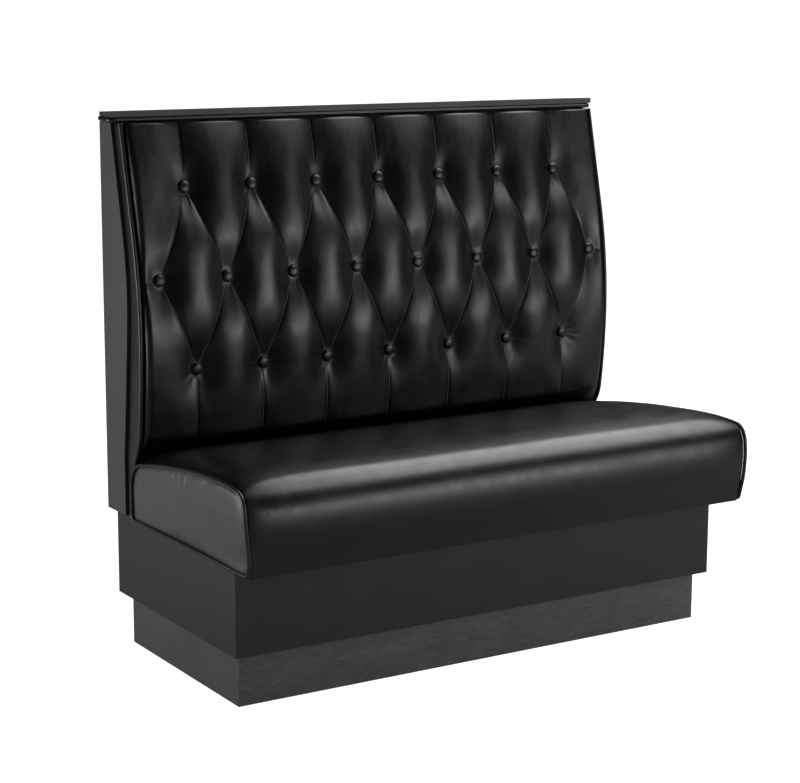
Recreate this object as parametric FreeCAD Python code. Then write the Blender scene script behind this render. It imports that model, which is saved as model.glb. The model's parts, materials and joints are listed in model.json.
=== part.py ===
# Restaurant booth, single sided: a crowned seat on a box and a recessed plinth, with a button-tufted back.
# Millimetres. +X to the right as the booth is seen from the front, +Y to the back, +Z up.
# The origin is on the floor, under the middle of the booth.

import FreeCAD
import Part
import math
import os

os.makedirs("parts", exist_ok=True)

Vector = FreeCAD.Vector

# Box and plinth
box_length = 1131.0
box_depth = 518.0
box_height = 173.0
plinth_height = 104.0
toe_recess_front = 25.0
toe_recess_end = 18.0
toe_recess_back = 28.0
board = 18.0
bottom_board = 12.0
facing = 1.0
top_rail_width = 60.0
rear_deck_width = 76.0
divider_share = 0.3325
bearer_share = 0.3325

# Levelling feet, in blocks in the corners of the plinth
corner_block = 50.0
block_clearance = 16.0
foot_radius = 20.0
foot_height = 12.0
foot_taper = 3.0
foot_rise = 1.0
foot_socket = 6.0
stem_radius = 5.0
stem_length = 74.0
insert_radius = 7.5
insert_length = 14.0
insert_flange_radius = 13.0
insert_flange = 1.5
thread_clearance = 0.08
stem_clearance = 1.5

# Steel angles that anchor the plinth to the floor
bracket_leg = 40.0
bracket_width = 32.0
bracket_thickness = 3.0
bracket_hole_radius = 4.5
bracket_hole_share = 0.6
bracket_spacing = 600.0

# Seat
seat_overhang_front = 96.0
seat_rear_gap = 3.6
seat_end_overhang = 17.5
seat_end_height = 162.0
crown_rise = 20.0
crown_run_share = ((0.0, 0.0), (0.10, 0.44), (0.33, 0.77), (0.65, 0.95), (1.0, 1.0))
crown_run = 125.0
seat_cover_thickness = 2.5
dust_cover = 0.6
seat_rail = 44.0
seat_rail_width = 46.0
foam_wrap = 12.0
end_panel_crown = 3.0
seat_welt_radius = 4.0
welt_bend = 9.0
cleat_length = 240.0
cleat_section = 22.0
cleat_clearance = 2.0
soft_clearance = 0.3

# Sinuous springs of the seat
spring_wire_radius = 1.9
spring_run = 24.0
spring_end_gap = 83.0
spring_count = 9
spring_waves = 16
clip_wall = 1.6
clip_length = 20.0
stretcher_share = 0.32
stretcher_drop = 12.0
insulator = 1.5

# Back
back_overhang = 31.0
back_height = 787.5
back_end_overhang = 6.5
pad_depth = 167.0
side_board_depth = 111.5
face_board = 6.0
outside_panel = 4.0
middle_rail_height = 60.0
middle_rail_share = (0.36, 0.69)
rib_share = 0.328
pad_end_inset = 9.0
boxing = 2.5
back_welt_radius = 4.0
back_welt_lead = 1.0
back_cover_thickness = 2.5
foam_rear_clearance = 0.8
tuck_end = 0.3

# Front edge of the pad, and front edge of the side boards and ribs behind it.
# Each point is (share of the depth in front of the back plane, share of the back's height).
pad_edge_share = ((0.548, 1.0), (0.850, 0.7276), (1.0, 0.4102), (0.928, 0.2197), (0.844, 0.1714))
pad_foot_share = 0.7485
board_edge_share = ((0.466, 1.0), (0.897, 0.715), (1.0, 0.499), (0.771, 0.156), (0.771, 0.0))

# Tufting
row_end_gap = 38.0
odd_row_count = 7
even_row_count = 8
tuft_row_share = (0.8419, 0.6159, 0.3898)
button_radius = 12.0
button_height = 8.5
button_rim = 1.5
button_back_inset = 1.0
button_lift = 0.6
seat_pit_half = 13.0
seat_pit_depth = 6.0
pit_reach = 12.5
flat_share = 0.125
side_bulge_share = 0.167
pleat_rise = 17.0
puff_rise = 34.0
top_pleat_half = 4.0
top_puff_rise = 5.0
top_pleat_rise = 10.0
side_pleat_width = 10.0
tuck_fade = 38.0
tie_radius = 1.5
tie_hole = 2.2
panel_tie_hole = 5.0
tie_washer_radius = 11.0
tie_washer = 1.5
tie_socket = 3.0
knot_radius = 3.0

# Bolts that hold the back on the box
bolt_radius = 4.0
bolt_clearance = 0.5
bolt_head_radius = 9.0
bolt_head = 4.0
bolt_tail = 3.0
nut_height = 7.0
nut_width = 13.0
hexagon_corners = 6
nut_flange_radius = 9.0
nut_flange = 1.5
bolt_places_share = (-0.72, -0.24, 0.24, 0.72)

# Cap
cap_core_height = 11.5
cap_board_height = 11.4
cap_board_fall = 4.0
cap_board_overhang = 12.0
cap_front_setback = 11.5
cap_welt_radius = 5.3
cap_welt_lead = 3.0
cap_bend = 9.0

# One overrun for every cutter
overrun = 5.0

# Places that follow from the sizes above
half_box = box_length / 2
overall_depth = seat_overhang_front + box_depth + back_overhang
back_y = overall_depth / 2
seat_front_y = -overall_depth / 2
box_front_y = seat_front_y + seat_overhang_front
box_back_y = box_front_y + box_depth
box_top = plinth_height + box_height
plinth_half = half_box - toe_recess_end
plinth_front_y = box_front_y + toe_recess_front
plinth_back_y = box_back_y - toe_recess_back
back_top = box_top + back_height
half_back = half_box + back_end_overhang
pad_half_length = half_back - pad_end_inset
tuft_pitch = 2 * (pad_half_length - row_end_gap) / (even_row_count - 1)
tuft_row_heights = [box_top + share * back_height for share in tuft_row_share]
pad_foot_y = back_y - pad_foot_share * pad_depth
seat_depth = pad_foot_y - seat_rear_gap - seat_front_y
rear_deck_front_y = box_back_y - board - rear_deck_width


def block(x0, x1, y0, y1, z0, z1):
    return Part.makeBox(x1 - x0, y1 - y0, z1 - z0, Vector(x0, y0, z0))


def rod(radius, length, start, direction):
    return Part.makeCylinder(radius, length, start, direction)


def mirrored(shape):
    return shape.mirror(Vector(0, 0, 0), Vector(1, 0, 0))


def save(name, *solids):
    shape = solids[0] if len(solids) == 1 else Part.makeCompound(list(solids))
    shape.exportStep("parts/" + name + ".step")


def extruded(edges, direction):
    return Part.Face(Part.Wire(Part.sortEdges(edges)[0])).extrude(direction)


def segment(start, end):
    return Part.LineSegment(start, end).toShape()


def swept(path, start, along, radius):
    circle = Part.Wire(Part.makeCircle(radius, start, along))
    shell = Part.BRepOffsetAPI.MakePipeShell(path)
    shell.add(circle)
    shell.build()
    shell.makeSolid()
    return shell.shape()


up = Vector(0, 0, 1)
down = Vector(0, 0, -1)
backwards = Vector(0, 1, 0)
sideways = Vector(1, 0, 0)


# An outline in the YZ plane: straight runs and arcs, where each arc leaves in the direction that the last piece ended in
class Outline:
    def __init__(self, start, direction):
        length = math.hypot(direction[0], direction[1])
        self.at = start
        self.direction = (direction[0] / length, direction[1] / length)
        self.pieces = []

    def line_to(self, end):
        length = math.dist(self.at, end)
        self.direction = ((end[0] - self.at[0]) / length, (end[1] - self.at[1]) / length)
        self.pieces.append((self.at, end, None, None))
        self.at = end
        return self

    def arc_to(self, end):
        chord = math.dist(self.at, end)
        along = ((end[0] - self.at[0]) / chord, (end[1] - self.at[1]) / chord)
        normal = (-self.direction[1], self.direction[0])
        across = along[0] * normal[0] + along[1] * normal[1]
        reach = chord / (2 * across)
        centre = (self.at[0] + normal[0] * reach, self.at[1] + normal[1] * reach)
        half_way = ((self.at[0] + end[0]) / 2, (self.at[1] + end[1]) / 2)
        stretch = abs(reach) / math.dist(centre, half_way)
        middle = (
            centre[0] + (half_way[0] - centre[0]) * stretch,
            centre[1] + (half_way[1] - centre[1]) * stretch,
        )
        self.pieces.append((self.at, end, middle, centre))
        lead = self.direction[0] * along[0] + self.direction[1] * along[1]
        self.direction = (2 * lead * along[0] - self.direction[0], 2 * lead * along[1] - self.direction[1])
        self.at = end
        return self

    # An arc of the given chord that ends in the given direction
    def turn_to(self, direction, chord):
        bisector = (self.direction[0] + direction[0], self.direction[1] + direction[1])
        length = math.hypot(bisector[0], bisector[1])
        return self.arc_to((self.at[0] + bisector[0] / length * chord, self.at[1] + bisector[1] / length * chord))

    # An arc that ends straight down, at the given distance back
    def turn_down(self, y):
        bisector = (self.direction[0], self.direction[1] - 1)
        length = math.hypot(bisector[0], bisector[1])
        return self.turn_to((0, -1), (y - self.at[0]) / bisector[0] * length)

    # An arc that ends level, going back, at the given height
    def turn_level(self, z):
        bisector = (self.direction[0] + 1, self.direction[1])
        length = math.hypot(bisector[0], bisector[1])
        return self.turn_to((1, 0), (z - self.at[1]) / bisector[1] * length)

    # Puts an outline that leaves the same point the other way in front of this one
    def after(self, other):
        turned = [(end, start, middle, centre) for start, end, middle, centre in other.pieces[::-1]]
        self.pieces = turned + self.pieces
        return self

    def edges(self, x, shift=0.0):
        made = []
        for start, end, middle, centre in self.pieces:
            a = Vector(x, start[0] + shift, start[1])
            c = Vector(x, end[0] + shift, end[1])
            if middle is None:
                made.append(segment(a, c))
            else:
                made.append(Part.Arc(a, Vector(x, middle[0] + shift, middle[1]), c).toShape())
        return made

    # The outline's distance back at a height, where the outline only goes down
    def y_at(self, z):
        z = max(self.pieces[-1][1][1], min(self.pieces[0][0][1], z))
        for start, end, middle, centre in self.pieces:
            if start[1] >= z >= end[1]:
                if middle is None:
                    return start[0] + (start[1] - z) / (start[1] - end[1]) * (end[0] - start[0])
                reach = math.sqrt(max(0.0, math.dist(start, centre) ** 2 - (z - centre[1]) ** 2))
                return centre[0] + math.copysign(reach, middle[0] - centre[0])

    # Lean of the outline at a height, as an angle about X
    def lean_at(self, z):
        return math.atan2(self.y_at(z + button_radius) - self.y_at(z - button_radius), 2 * button_radius)


def back_point(share, depth):
    return (back_y - share[0] * depth, box_top + share[1] * back_height)


def pad_outline():
    points = [back_point(share, pad_depth) for share in pad_edge_share]
    outline = Outline(points[0], (0, -1)).line_to(points[1])
    for point in points[2:]:
        outline.arc_to(point)
    outline.turn_down(pad_foot_y)
    return outline.line_to((outline.at[0], box_top))


def board_outline():
    points = [back_point(share, side_board_depth) for share in board_edge_share]
    outline = Outline(points[0], (0, -1)).line_to(points[1])
    for point in points[2:-1]:
        outline.arc_to(point)
    return outline.line_to(points[-1])


pad_edge = pad_outline()
board_edge = board_outline()


def make_plinth():
    front = plinth_front_y + facing
    inner_half = plinth_half - board
    inner_front = front + board
    inner_back = plinth_back_y - board
    save("plinth_front_facing", block(-plinth_half, plinth_half, plinth_front_y, front, 0, plinth_height))
    save("plinth_front_board", block(-plinth_half, plinth_half, front, inner_front, 0, plinth_height))
    save("plinth_back_board", block(-plinth_half, plinth_half, inner_back, plinth_back_y, 0, plinth_height))
    end = block(inner_half, plinth_half, inner_front, inner_back, 0, plinth_height)
    save("plinth_right_board", end)
    save("plinth_left_board", mirrored(end))
    bearer_x = bearer_share * half_box
    bearer = block(bearer_x - board / 2, bearer_x + board / 2, inner_front, inner_back, 0, plinth_height)
    save("plinth_bearers", bearer, mirrored(bearer))
    make_corners(inner_half, inner_front, inner_back)
    make_brackets(inner_front, inner_back)


# Corner blocks with their threaded inserts and levelling feet
def make_corners(inner_half, inner_front, inner_back):
    blocks = []
    inserts = []
    for side, x in (("left", corner_block / 2 - inner_half), ("right", inner_half - corner_block / 2)):
        for end, y in (("front", inner_front + corner_block / 2), ("back", inner_back - corner_block / 2)):
            reach = corner_block / 2
            wood = block(x - reach, x + reach, y - reach, y + reach, block_clearance, plinth_height)
            foot = Vector(x, y, foot_rise)
            seat = Vector(x, y, block_clearance)
            wood = wood.cut(rod(stem_radius + stem_clearance, plinth_height, seat, up))
            wood = wood.cut(rod(insert_radius, insert_length, seat, up))
            blocks.append(wood)
            flange_seat = Vector(x, y, block_clearance - insert_flange)
            insert = rod(insert_radius, insert_length, seat, up)
            insert = insert.fuse(rod(insert_flange_radius, insert_flange, flange_seat, up))
            inserts.append(insert.cut(rod(stem_radius + thread_clearance, plinth_height, Vector(x, y, 0), up)))
            socket = Vector(x, y, foot_rise + foot_height - foot_socket)
            base = Part.makeCone(foot_radius, foot_radius - foot_taper, foot_height, foot, up)
            save("foot_base_" + end + "_" + side, base.cut(rod(stem_radius, foot_height, socket, up)))
            save("foot_stem_" + end + "_" + side, rod(stem_radius, stem_length, socket, up))
    save("plinth_corner_blocks", *blocks)
    save("levelling_inserts", *inserts)


def make_brackets(inner_front, inner_back):
    brackets = []
    for x in (-bracket_spacing / 2, bracket_spacing / 2):
        for wall, inwards in ((inner_front, 1), (inner_back, -1)):
            x0 = x - bracket_width / 2
            x1 = x + bracket_width / 2
            far = wall + inwards * bracket_leg
            near = wall + inwards * bracket_thickness
            leg = block(x0, x1, min(wall, far), max(wall, far), 0, bracket_thickness)
            stand = block(x0, x1, min(wall, near), max(wall, near), 0, bracket_leg)
            hole_y = wall + inwards * bracket_leg * bracket_hole_share
            hole = rod(bracket_hole_radius, bracket_leg, Vector(x, hole_y, -overrun), up)
            brackets.append(leg.fuse(stand).removeSplitter().cut(hole))
    save("floor_anchor_brackets", *brackets)


def make_box():
    inner_half = half_box - board
    front = box_front_y + board
    back = box_back_y - board
    rail_bottom = box_top - board
    save("box_front_panel", block(-half_box, half_box, box_front_y, front, plinth_height, box_top))
    save("box_back_panel", block(-half_box, half_box, back, box_back_y, plinth_height, box_top))
    end = block(inner_half, half_box, front, back, plinth_height, box_top)
    save("box_right_end_panel", end)
    save("box_left_end_panel", mirrored(end))
    floor_top = plinth_height + bottom_board
    save("box_bottom_panel", block(-inner_half, inner_half, front, back, plinth_height, floor_top))
    divider_x = divider_share * half_box
    divider = block(divider_x - board / 2, divider_x + board / 2, front, back, floor_top, rail_bottom)
    save("box_dividers", divider, mirrored(divider))
    save("box_front_rail", block(-inner_half, inner_half, front, front + top_rail_width, rail_bottom, box_top))
    deck = block(-inner_half, inner_half, rear_deck_front_y, back, rail_bottom, box_top)
    for place in bolt_places():
        deck = deck.cut(rod(bolt_radius + bolt_clearance, box_top, place, down))
        deck = deck.cut(rod(bolt_radius + bolt_clearance, overrun, place, up))
    save("box_rear_deck", deck)


# Tops of the four bolt holes, in the face where the back frame meets the box
def bolt_places():
    bottom_rail_front = board_edge.y_at(box_top) + face_board
    y = (bottom_rail_front + box_back_y - board) / 2
    return [Vector(share * half_box, y, box_top) for share in bolt_places_share]


def hexagon(width, height, start):
    corner = width / math.sqrt(3)
    points = []
    for turn in range(hexagon_corners + 1):
        angle = turn * 2 * math.pi / hexagon_corners
        points.append(start + Vector(corner * math.cos(angle), corner * math.sin(angle), 0))
    return Part.Face(Part.makePolygon(points)).extrude(up * height)


def make_back_bolts():
    bolts = []
    nuts = []
    head_bottom = board
    tail = board + nut_flange + nut_height + bolt_tail
    for place in bolt_places():
        head_seat = place + up * head_bottom
        head = Part.makeCone(bolt_head_radius, bolt_head_radius / 2, bolt_head, head_seat, up)
        bolts.append(head.fuse(rod(bolt_radius, head_bottom + tail, head_seat, down)))
        flange_top = place + down * board
        nut = rod(nut_flange_radius, nut_flange, flange_top, down)
        nut = nut.fuse(hexagon(nut_width, nut_height, flange_top + down * (nut_flange + nut_height)))
        nuts.append(nut.cut(rod(bolt_radius, tail, flange_top, down)))
    save("back_fixing_bolts", *bolts)
    save("back_fixing_nuts", *nuts)


# The frame of the back: side boards, ribs, rails, face panel and outside panel
def make_back_frame():
    frame_back = back_y - outside_panel
    inner_half = half_back - board
    side = extruded(
        board_edge.edges(inner_half)
        + Part.makePolygon(
            [
                Vector(inner_half, board_edge.y_at(box_top), box_top),
                Vector(inner_half, frame_back, box_top),
                Vector(inner_half, frame_back, back_top),
                Vector(inner_half, board_edge.y_at(back_top), back_top),
            ]
        ).Edges,
        sideways * board,
    )
    save("back_right_side_board", side)
    save("back_left_side_board", mirrored(side))

    front_edges = board_edge.edges(-inner_half)
    rear_edges = board_edge.edges(-inner_half, face_board)
    ends = []
    for z in (box_top, back_top):
        y = board_edge.y_at(z)
        ends.append(segment(Vector(-inner_half, y, z), Vector(-inner_half, y + face_board, z)))
    panel = extruded(front_edges + rear_edges + ends, sideways * (2 * inner_half))
    for x, z in button_places():
        panel = panel.cut(rod(panel_tie_hole, pad_depth, Vector(x, back_y - pad_depth, z), backwards))
    save("back_face_panel", panel)

    bottom_front = board_edge.y_at(box_top) + face_board
    top_front = board_edge.y_at(back_top) + face_board
    bottom_rail = block(-inner_half, inner_half, bottom_front, frame_back, box_top, box_top + board)
    top_rail = block(-inner_half, inner_half, top_front, frame_back, back_top - board, back_top)
    middle_rails = []
    for share in middle_rail_share:
        low = box_top + share * back_height
        middle_rails.append(block(-inner_half, inner_half, frame_back - board, frame_back, low, low + middle_rail_height))
    rib_x = rib_share * half_back
    rib = extruded(
        board_edge.edges(rib_x - board / 2, face_board)
        + Part.makePolygon(
            [
                Vector(rib_x - board / 2, board_edge.y_at(box_top) + face_board, box_top),
                Vector(rib_x - board / 2, frame_back, box_top),
                Vector(rib_x - board / 2, frame_back, back_top),
                Vector(rib_x - board / 2, board_edge.y_at(back_top) + face_board, back_top),
            ]
        ).Edges,
        sideways * board,
    )
    for rail in [bottom_rail, top_rail] + middle_rails:
        rib = rib.cut(rail)
    for place in bolt_places():
        bottom_rail = bottom_rail.cut(rod(bolt_radius + bolt_clearance, board, place, up))
    save("back_ribs", rib, mirrored(rib))
    save("back_bottom_rail", bottom_rail)
    save("back_top_rail", top_rail)
    save("back_middle_rails", *middle_rails)
    save("outside_back_panel", block(-half_back, half_back, frame_back, back_y, box_top, back_top))


# Centres of the buttons: odd rows have a button on the booth's middle, the even row has them half a pitch aside
def button_places():
    places = []
    for row, z in enumerate(tuft_row_heights):
        count = odd_row_count if row % 2 == 0 else even_row_count
        for number in range(count):
            places.append(((number - (count - 1) / 2) * tuft_pitch, z))
    return places


# Share of the way from a row of buttons of the first kind to one of the second kind, at a height
def row_share(z):
    first, second, third = tuft_row_heights
    near, far = (first, second) if z >= second else (third, second)
    from_row = max(0.0, abs(z - near) - pit_reach) if first >= z >= third else 0.0
    return min(1.0, from_row / (abs(far - near) - 2 * pit_reach))


# Distance to the nearest row, as a share of half the way to the next row: 0 at a row, 1 between two rows
def row_distance(z):
    first, second, third = tuft_row_heights
    if first >= z >= third:
        half_way = (first - second) / 2
        nearest = min(abs(z - row) for row in tuft_row_heights)
        return max(0.0, min(1.0, (nearest - pit_reach) / (half_way - pit_reach)))
    return 0.0


# Share of the way from the first row up to the top edge, or from the last row down to the tuck behind the seat
def edge_share(z):
    first, second, third = tuft_row_heights
    tuck = pad_edge.pieces[3][1][1]
    if z > first + pit_reach:
        return (z - first - pit_reach) / (back_top - first - pit_reach)
    if z < third - pit_reach:
        return min(1.0, (third - pit_reach - z) / (third - pit_reach - tuck))
    return 0.0


# The front of the tufted pad at one height: points where the pleats cross, and the crest of the puff between each two
def tuft_line(z, inset, half_length):
    edge_y = pad_edge.y_at(z)
    seat_y = edge_y + seat_pit_depth
    share = row_share(z)
    edge = edge_share(z)
    diamond = tuft_pitch - 2 * seat_pit_half
    half = seat_pit_half + share * (diamond - tuft_pitch / 2)
    half -= edge * (seat_pit_half - top_pleat_half)
    pleat = pleat_rise * math.sin(row_distance(z) * math.pi / 2)
    pleat += top_pleat_rise * math.sin(edge * math.pi / 2)
    flat = 2 * seat_pit_half + (diamond - tuft_pitch / 2) * flat_share

    def crest(width):
        swell = max(0.0, min(1.0, (width - flat) / (diamond - flat)))
        rise = puff_rise * (1 - (1 - swell) ** 3)
        rise = max(rise, pleat)
        rise -= edge ** 2 * (rise - top_pleat_rise - top_puff_rise * min(1.0, width / diamond))
        return seat_y - rise

    outer_pleat = tuft_pitch * odd_row_count / 2 + seat_pit_half
    margin = half_length - outer_pleat
    outer_pleat += (1 - share) * (margin - side_pleat_width)
    places = [-half_length, -outer_pleat]
    for column in range(odd_row_count):
        centre = (column - (odd_row_count - 1) / 2) * tuft_pitch
        places += [centre - half, centre + half]
    places += [outer_pleat, half_length]
    depths = [seat_y - pleat] * len(places)
    side_pleat = edge_y + share * (seat_y - pleat - edge_y)
    depths[0] = depths[-1] = edge_y
    outer = seat_y - pleat - (1 - share) * (puff_rise / 2 - pleat / 2) * (1 - edge)
    depths[1] = depths[-2] = min(outer, side_pleat)
    points = []
    for number, (x, y) in enumerate(zip(places, depths)):
        points.append((x, y + inset))
        if number + 1 < len(places):
            width = places[number + 1] - x
            middle_y = crest(width)
            if x < -outer_pleat or x >= outer_pleat:
                middle_y = (y + depths[number + 1]) / 2 - width * side_bulge_share
            points.append((x + width / 2, min(middle_y, (y + depths[number + 1]) / 2 - soft_clearance) + inset))
    tuck = pad_edge.pieces[3][1][1]
    stand = max(0.0, min(1.0, (z - tuck) / tuck_fade))
    flat_y = edge_y + inset
    faded = []
    for number, (x, y) in enumerate(points):
        bow = soft_clearance if number % 2 else 0
        faded.append((x, flat_y + (y - flat_y) * stand - bow * (1 - stand)))
    return faded


def arcs_through(points, z):
    made = []
    for number in range(0, len(points) - 2, 2):
        a, b, c = [Vector(x, y, z) for x, y in points[number:number + 3]]
        made.append(Part.Arc(a, b, c).toShape())
    return made


# Levels of the pad's sections: above the first row, between two rows and below the last row
top_share = (0.3, 0.6)
between_share = (0.27, 0.5, 0.73)
lower_share = (0.3, 0.6, 0.85)


def pad_levels():
    first, second, third = tuft_row_heights
    tuck = pad_edge.pieces[3][1][1]
    foot = pad_edge.pieces[4][1][1]
    levels = [back_top - soft_clearance]
    levels += [back_top - share * (back_top - first) for share in top_share]
    levels += [first + pit_reach, first, first - pit_reach]
    levels += [first - share * (first - second) for share in between_share]
    levels += [second + pit_reach, second, second - pit_reach]
    levels += [second - share * (second - third) for share in between_share]
    levels += [third + pit_reach, third, third - pit_reach]
    levels += [third - share * (third - tuck) for share in lower_share]
    levels += [tuck, (tuck + foot) / 2, foot, (foot + box_top) / 2, box_top + tuck_end]
    return levels


def make_pad():
    cover_sections = []
    foam_sections = []
    foam_half = pad_half_length - soft_clearance
    for z in pad_levels():
        outer = tuft_line(z, 0, pad_half_length)
        inner = tuft_line(z, back_cover_thickness, pad_half_length)
        ends = []
        for a, b in ((outer[0], inner[0]), (outer[-1], inner[-1])):
            ends.append(segment(Vector(a[0], a[1], z), Vector(b[0], b[1], z)))
        edges = arcs_through(outer, z) + [ends[1]] + arcs_through(inner, z)[::-1] + [ends[0]]
        cover_sections.append(Part.Wire(edges))
        front = tuft_line(z, back_cover_thickness + soft_clearance, foam_half)
        rear_y = board_edge.y_at(z) - foam_rear_clearance
        corners = [Vector(front[-1][0], front[-1][1], z), Vector(foam_half, rear_y, z)]
        corners += [Vector(-foam_half, rear_y, z), Vector(front[0][0], front[0][1], z)]
        foam_sections.append(Part.Wire(arcs_through(front, z) + Part.makePolygon(corners).Edges))
    hole_front = back_y - pad_depth - puff_rise
    holes = [rod(tie_hole, pad_depth, Vector(x, hole_front, z), backwards) for x, z in button_places()]
    save("tufted_cover", Part.makeLoft(cover_sections, True, True).cut(holes))
    save("back_foam", Part.makeLoft(foam_sections, True, True).cut(holes))


def make_buttons():
    buttons = []
    ties = []
    washers = []
    for x, z in button_places():
        seat = Vector(x, pad_edge.y_at(z) + seat_pit_depth - button_lift, z)
        dome_rise = button_height - button_rim
        dome_radius = (button_radius ** 2 + dome_rise ** 2) / (2 * dome_rise)
        button = rod(button_radius, dome_rise, up * button_rim, up)
        button = button.common(Part.makeSphere(dome_radius, up * (button_height - dome_radius)))
        button = button.fuse(Part.makeCone(button_radius - button_back_inset, button_radius, button_rim))
        lean = math.degrees(pad_edge.lean_at(z))
        button.rotate(Vector(0, 0, 0), sideways, 90 - lean)
        button.translate(seat)
        socket = seat - backwards * tie_socket
        button = button.cut(rod(tie_hole, pad_depth, socket, backwards))
        buttons.append(button)

        panel_lean = board_edge.lean_at(z)
        panel_back = Vector(x, board_edge.y_at(z) + face_board + soft_clearance, z)
        washer = rod(tie_washer_radius, tie_washer, Vector(0, 0, 0), up)
        washer = washer.cut(rod(tie_hole, tie_washer, Vector(0, 0, 0), up))
        washer.rotate(Vector(0, 0, 0), sideways, -90 - math.degrees(panel_lean))
        washer.translate(panel_back)
        washers.append(washer)
        knot = panel_back + backwards * ((tie_washer + knot_radius) / math.cos(panel_lean))
        tie = rod(tie_radius, knot.y - socket.y, socket, backwards)
        ties.append(tie.fuse(Part.makeSphere(knot_radius, knot)))
    save("tuft_buttons", *buttons)
    save("button_ties", *ties)
    save("tie_washers", *washers)


# The strips that close the ends of the pad, and the welt cords along their front edges
def make_pad_ends():
    ends = []
    for z in (box_top, back_top):
        front = Vector(pad_half_length, pad_edge.y_at(z), z)
        ends.append(segment(front, Vector(pad_half_length, board_edge.y_at(z), z)))
    outline = pad_edge.edges(pad_half_length) + board_edge.edges(pad_half_length) + ends
    strip = extruded(outline, sideways * boxing)
    save("back_right_boxing", strip)
    save("back_left_boxing", mirrored(strip))
    welt_x = pad_half_length + boxing + back_welt_radius
    path = pad_edge.edges(welt_x, -back_welt_lead)
    start = path[0].Vertexes[0].Point
    along = path[0].Vertexes[1].Point - start
    welt = swept(Part.Wire(path), start, along, back_welt_radius)
    save("back_welts", welt, mirrored(welt))


def make_cap():
    # The ends run in from the board's overhang at the front to the side boards at the rear
    bend = cap_bend
    front_y = board_edge.y_at(back_top) - 2 * cap_front_setback
    board_front_y = front_y - cap_welt_radius
    end_slope = cap_board_overhang / (back_y - board_front_y)
    slant = math.hypot(1, end_slope)
    welt_inset = cap_welt_radius - cap_welt_lead

    def end_x(y, inset):
        return half_back + end_slope * (back_y - y) - inset

    def plan(y, inset, low, high):
        front_x = end_x(y, inset)
        rear_x = end_x(back_y, inset)
        corners = [(-front_x, y), (front_x, y), (rear_x, back_y), (-rear_x, back_y), (-front_x, y)]
        outline = Part.makePolygon([Vector(*corner, low) for corner in corners])
        return Part.Face(outline).extrude(Vector(0, 0, high - low))

    core_top = back_top + cap_core_height
    core_front = front_y + cap_welt_radius
    core = plan(core_front, welt_inset + cap_welt_radius * slant, back_top, core_top)
    corners = [edge for edge in core.Edges if edge.BoundBox.YMax < core_front + bend and edge.BoundBox.XLength < bend]
    save("cap_core", core.makeFillet(bend - cap_welt_radius + soft_clearance, corners))
    cap_top = core_top + cap_board_height
    side = [(board_front_y, core_top), (board_front_y, cap_top), (back_y, cap_top - cap_board_fall), (back_y, core_top)]
    board_half = end_x(board_front_y, 0)
    rim = Part.makePolygon([Vector(-board_half, *point) for point in side + side[:1]])
    wedge = Part.Face(rim).extrude(Vector(2 * board_half, 0, 0))
    save("cap_board", wedge.common(plan(board_front_y, 0, core_top, cap_top)))
    welt_z = back_top + cap_core_height / 2
    start_y = back_y - cap_welt_radius * end_slope
    start = Vector(-end_x(start_y, welt_inset), start_y, welt_z)
    corner = Vector(-end_x(front_y, welt_inset), front_y, welt_z)
    along_side = (start - corner).normalize()
    along_front = Vector(1, 0, 0)
    middle = (along_side + along_front).normalize()
    half_angle = along_side.getAngle(along_front) / 2
    side_end = corner + along_side * bend
    front_end = corner + along_front * bend
    bend_middle = corner + middle * (bend * (1 - math.sin(half_angle)) / math.cos(half_angle))
    left_bend = Part.Arc(side_end, bend_middle, front_end).toShape()
    left_side = segment(start, side_end)
    front = segment(front_end, Vector(-front_end.x, front_y, welt_z))
    path = Part.Wire([left_side, left_bend, front, mirrored(left_bend), mirrored(left_side)])
    save("cap_welt", swept(path, start, along_side, cap_welt_radius))


# Side outline of the seat. Each row is a point as (share of the depth, share of the end height), how far the crown
# moves it, as shares of the crown's rise, and the direction in which it goes when the outline is inset.
seat_nose_share = ((0.2736, 1.0022), (0, 1.0), (0, -1))
seat_front_share = (
    ((0.0800, 0.9819), (0.885, 0.875), (0.09, -1)),
    ((0.0430, 0.9099), (-0.02, 0.49), (0.55, -0.83)),
    ((0.0258, 0.7577), (-0.51, -0.02), (0.98, -0.2)),
    ((0.0200, 0.3398), (-0.19, -0.25), (1, 0)),
)
seat_back_share = ((0.9121, 0.7518), (0, 1.1), (0, -1))
seat_foot_share = 0.0356
seat_rear_crown_share = 0.17
seat_top_slope = 0.0344
cover_half = half_box + seat_end_overhang - 2 * seat_welt_radius


def seat_point(row, crown, inset):
    share, crown_share, inwards = row
    y = seat_front_y + share[0] * seat_depth + crown * crown_rise * crown_share[0] + inset * inwards[0]
    z = box_top + share[1] * seat_end_height + crown * crown_rise * crown_share[1] + inset * inwards[1]
    return y, z


# From the top of the nose down the front to the foot
def seat_front(crown, inset, foot_z):
    outline = Outline(seat_point(seat_nose_share, crown, inset), (-1, seat_top_slope))
    for row in seat_front_share:
        outline.arc_to(seat_point(row, crown, inset))
    return outline.arc_to((seat_front_y + seat_foot_share * seat_depth + inset, foot_z))


# From the top of the nose back over the seat and down its rear
def seat_back(crown, inset):
    outline = Outline(seat_point(seat_nose_share, crown, inset), (1, -seat_top_slope))
    outline.arc_to(seat_point(seat_back_share, crown, inset))
    rear_y = seat_front_y + seat_depth - (1 - crown) * crown_rise * seat_rear_crown_share - inset
    return outline.turn_down(rear_y)


def seat_outline(crown, inset, foot_z):
    outline = seat_back(crown, inset)
    outline.line_to((outline.at[0], foot_z))
    return outline.after(seat_front(crown, inset, foot_z))


def seat_stations():
    stations = [(cover_half - run * crown_run, crown) for run, crown in crown_run_share]
    stations += [((cover_half - crown_run) / 2, 1.0), (0.0, 1.0)]
    return stations + [(-x, crown) for x, crown in stations[-2::-1]]


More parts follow.
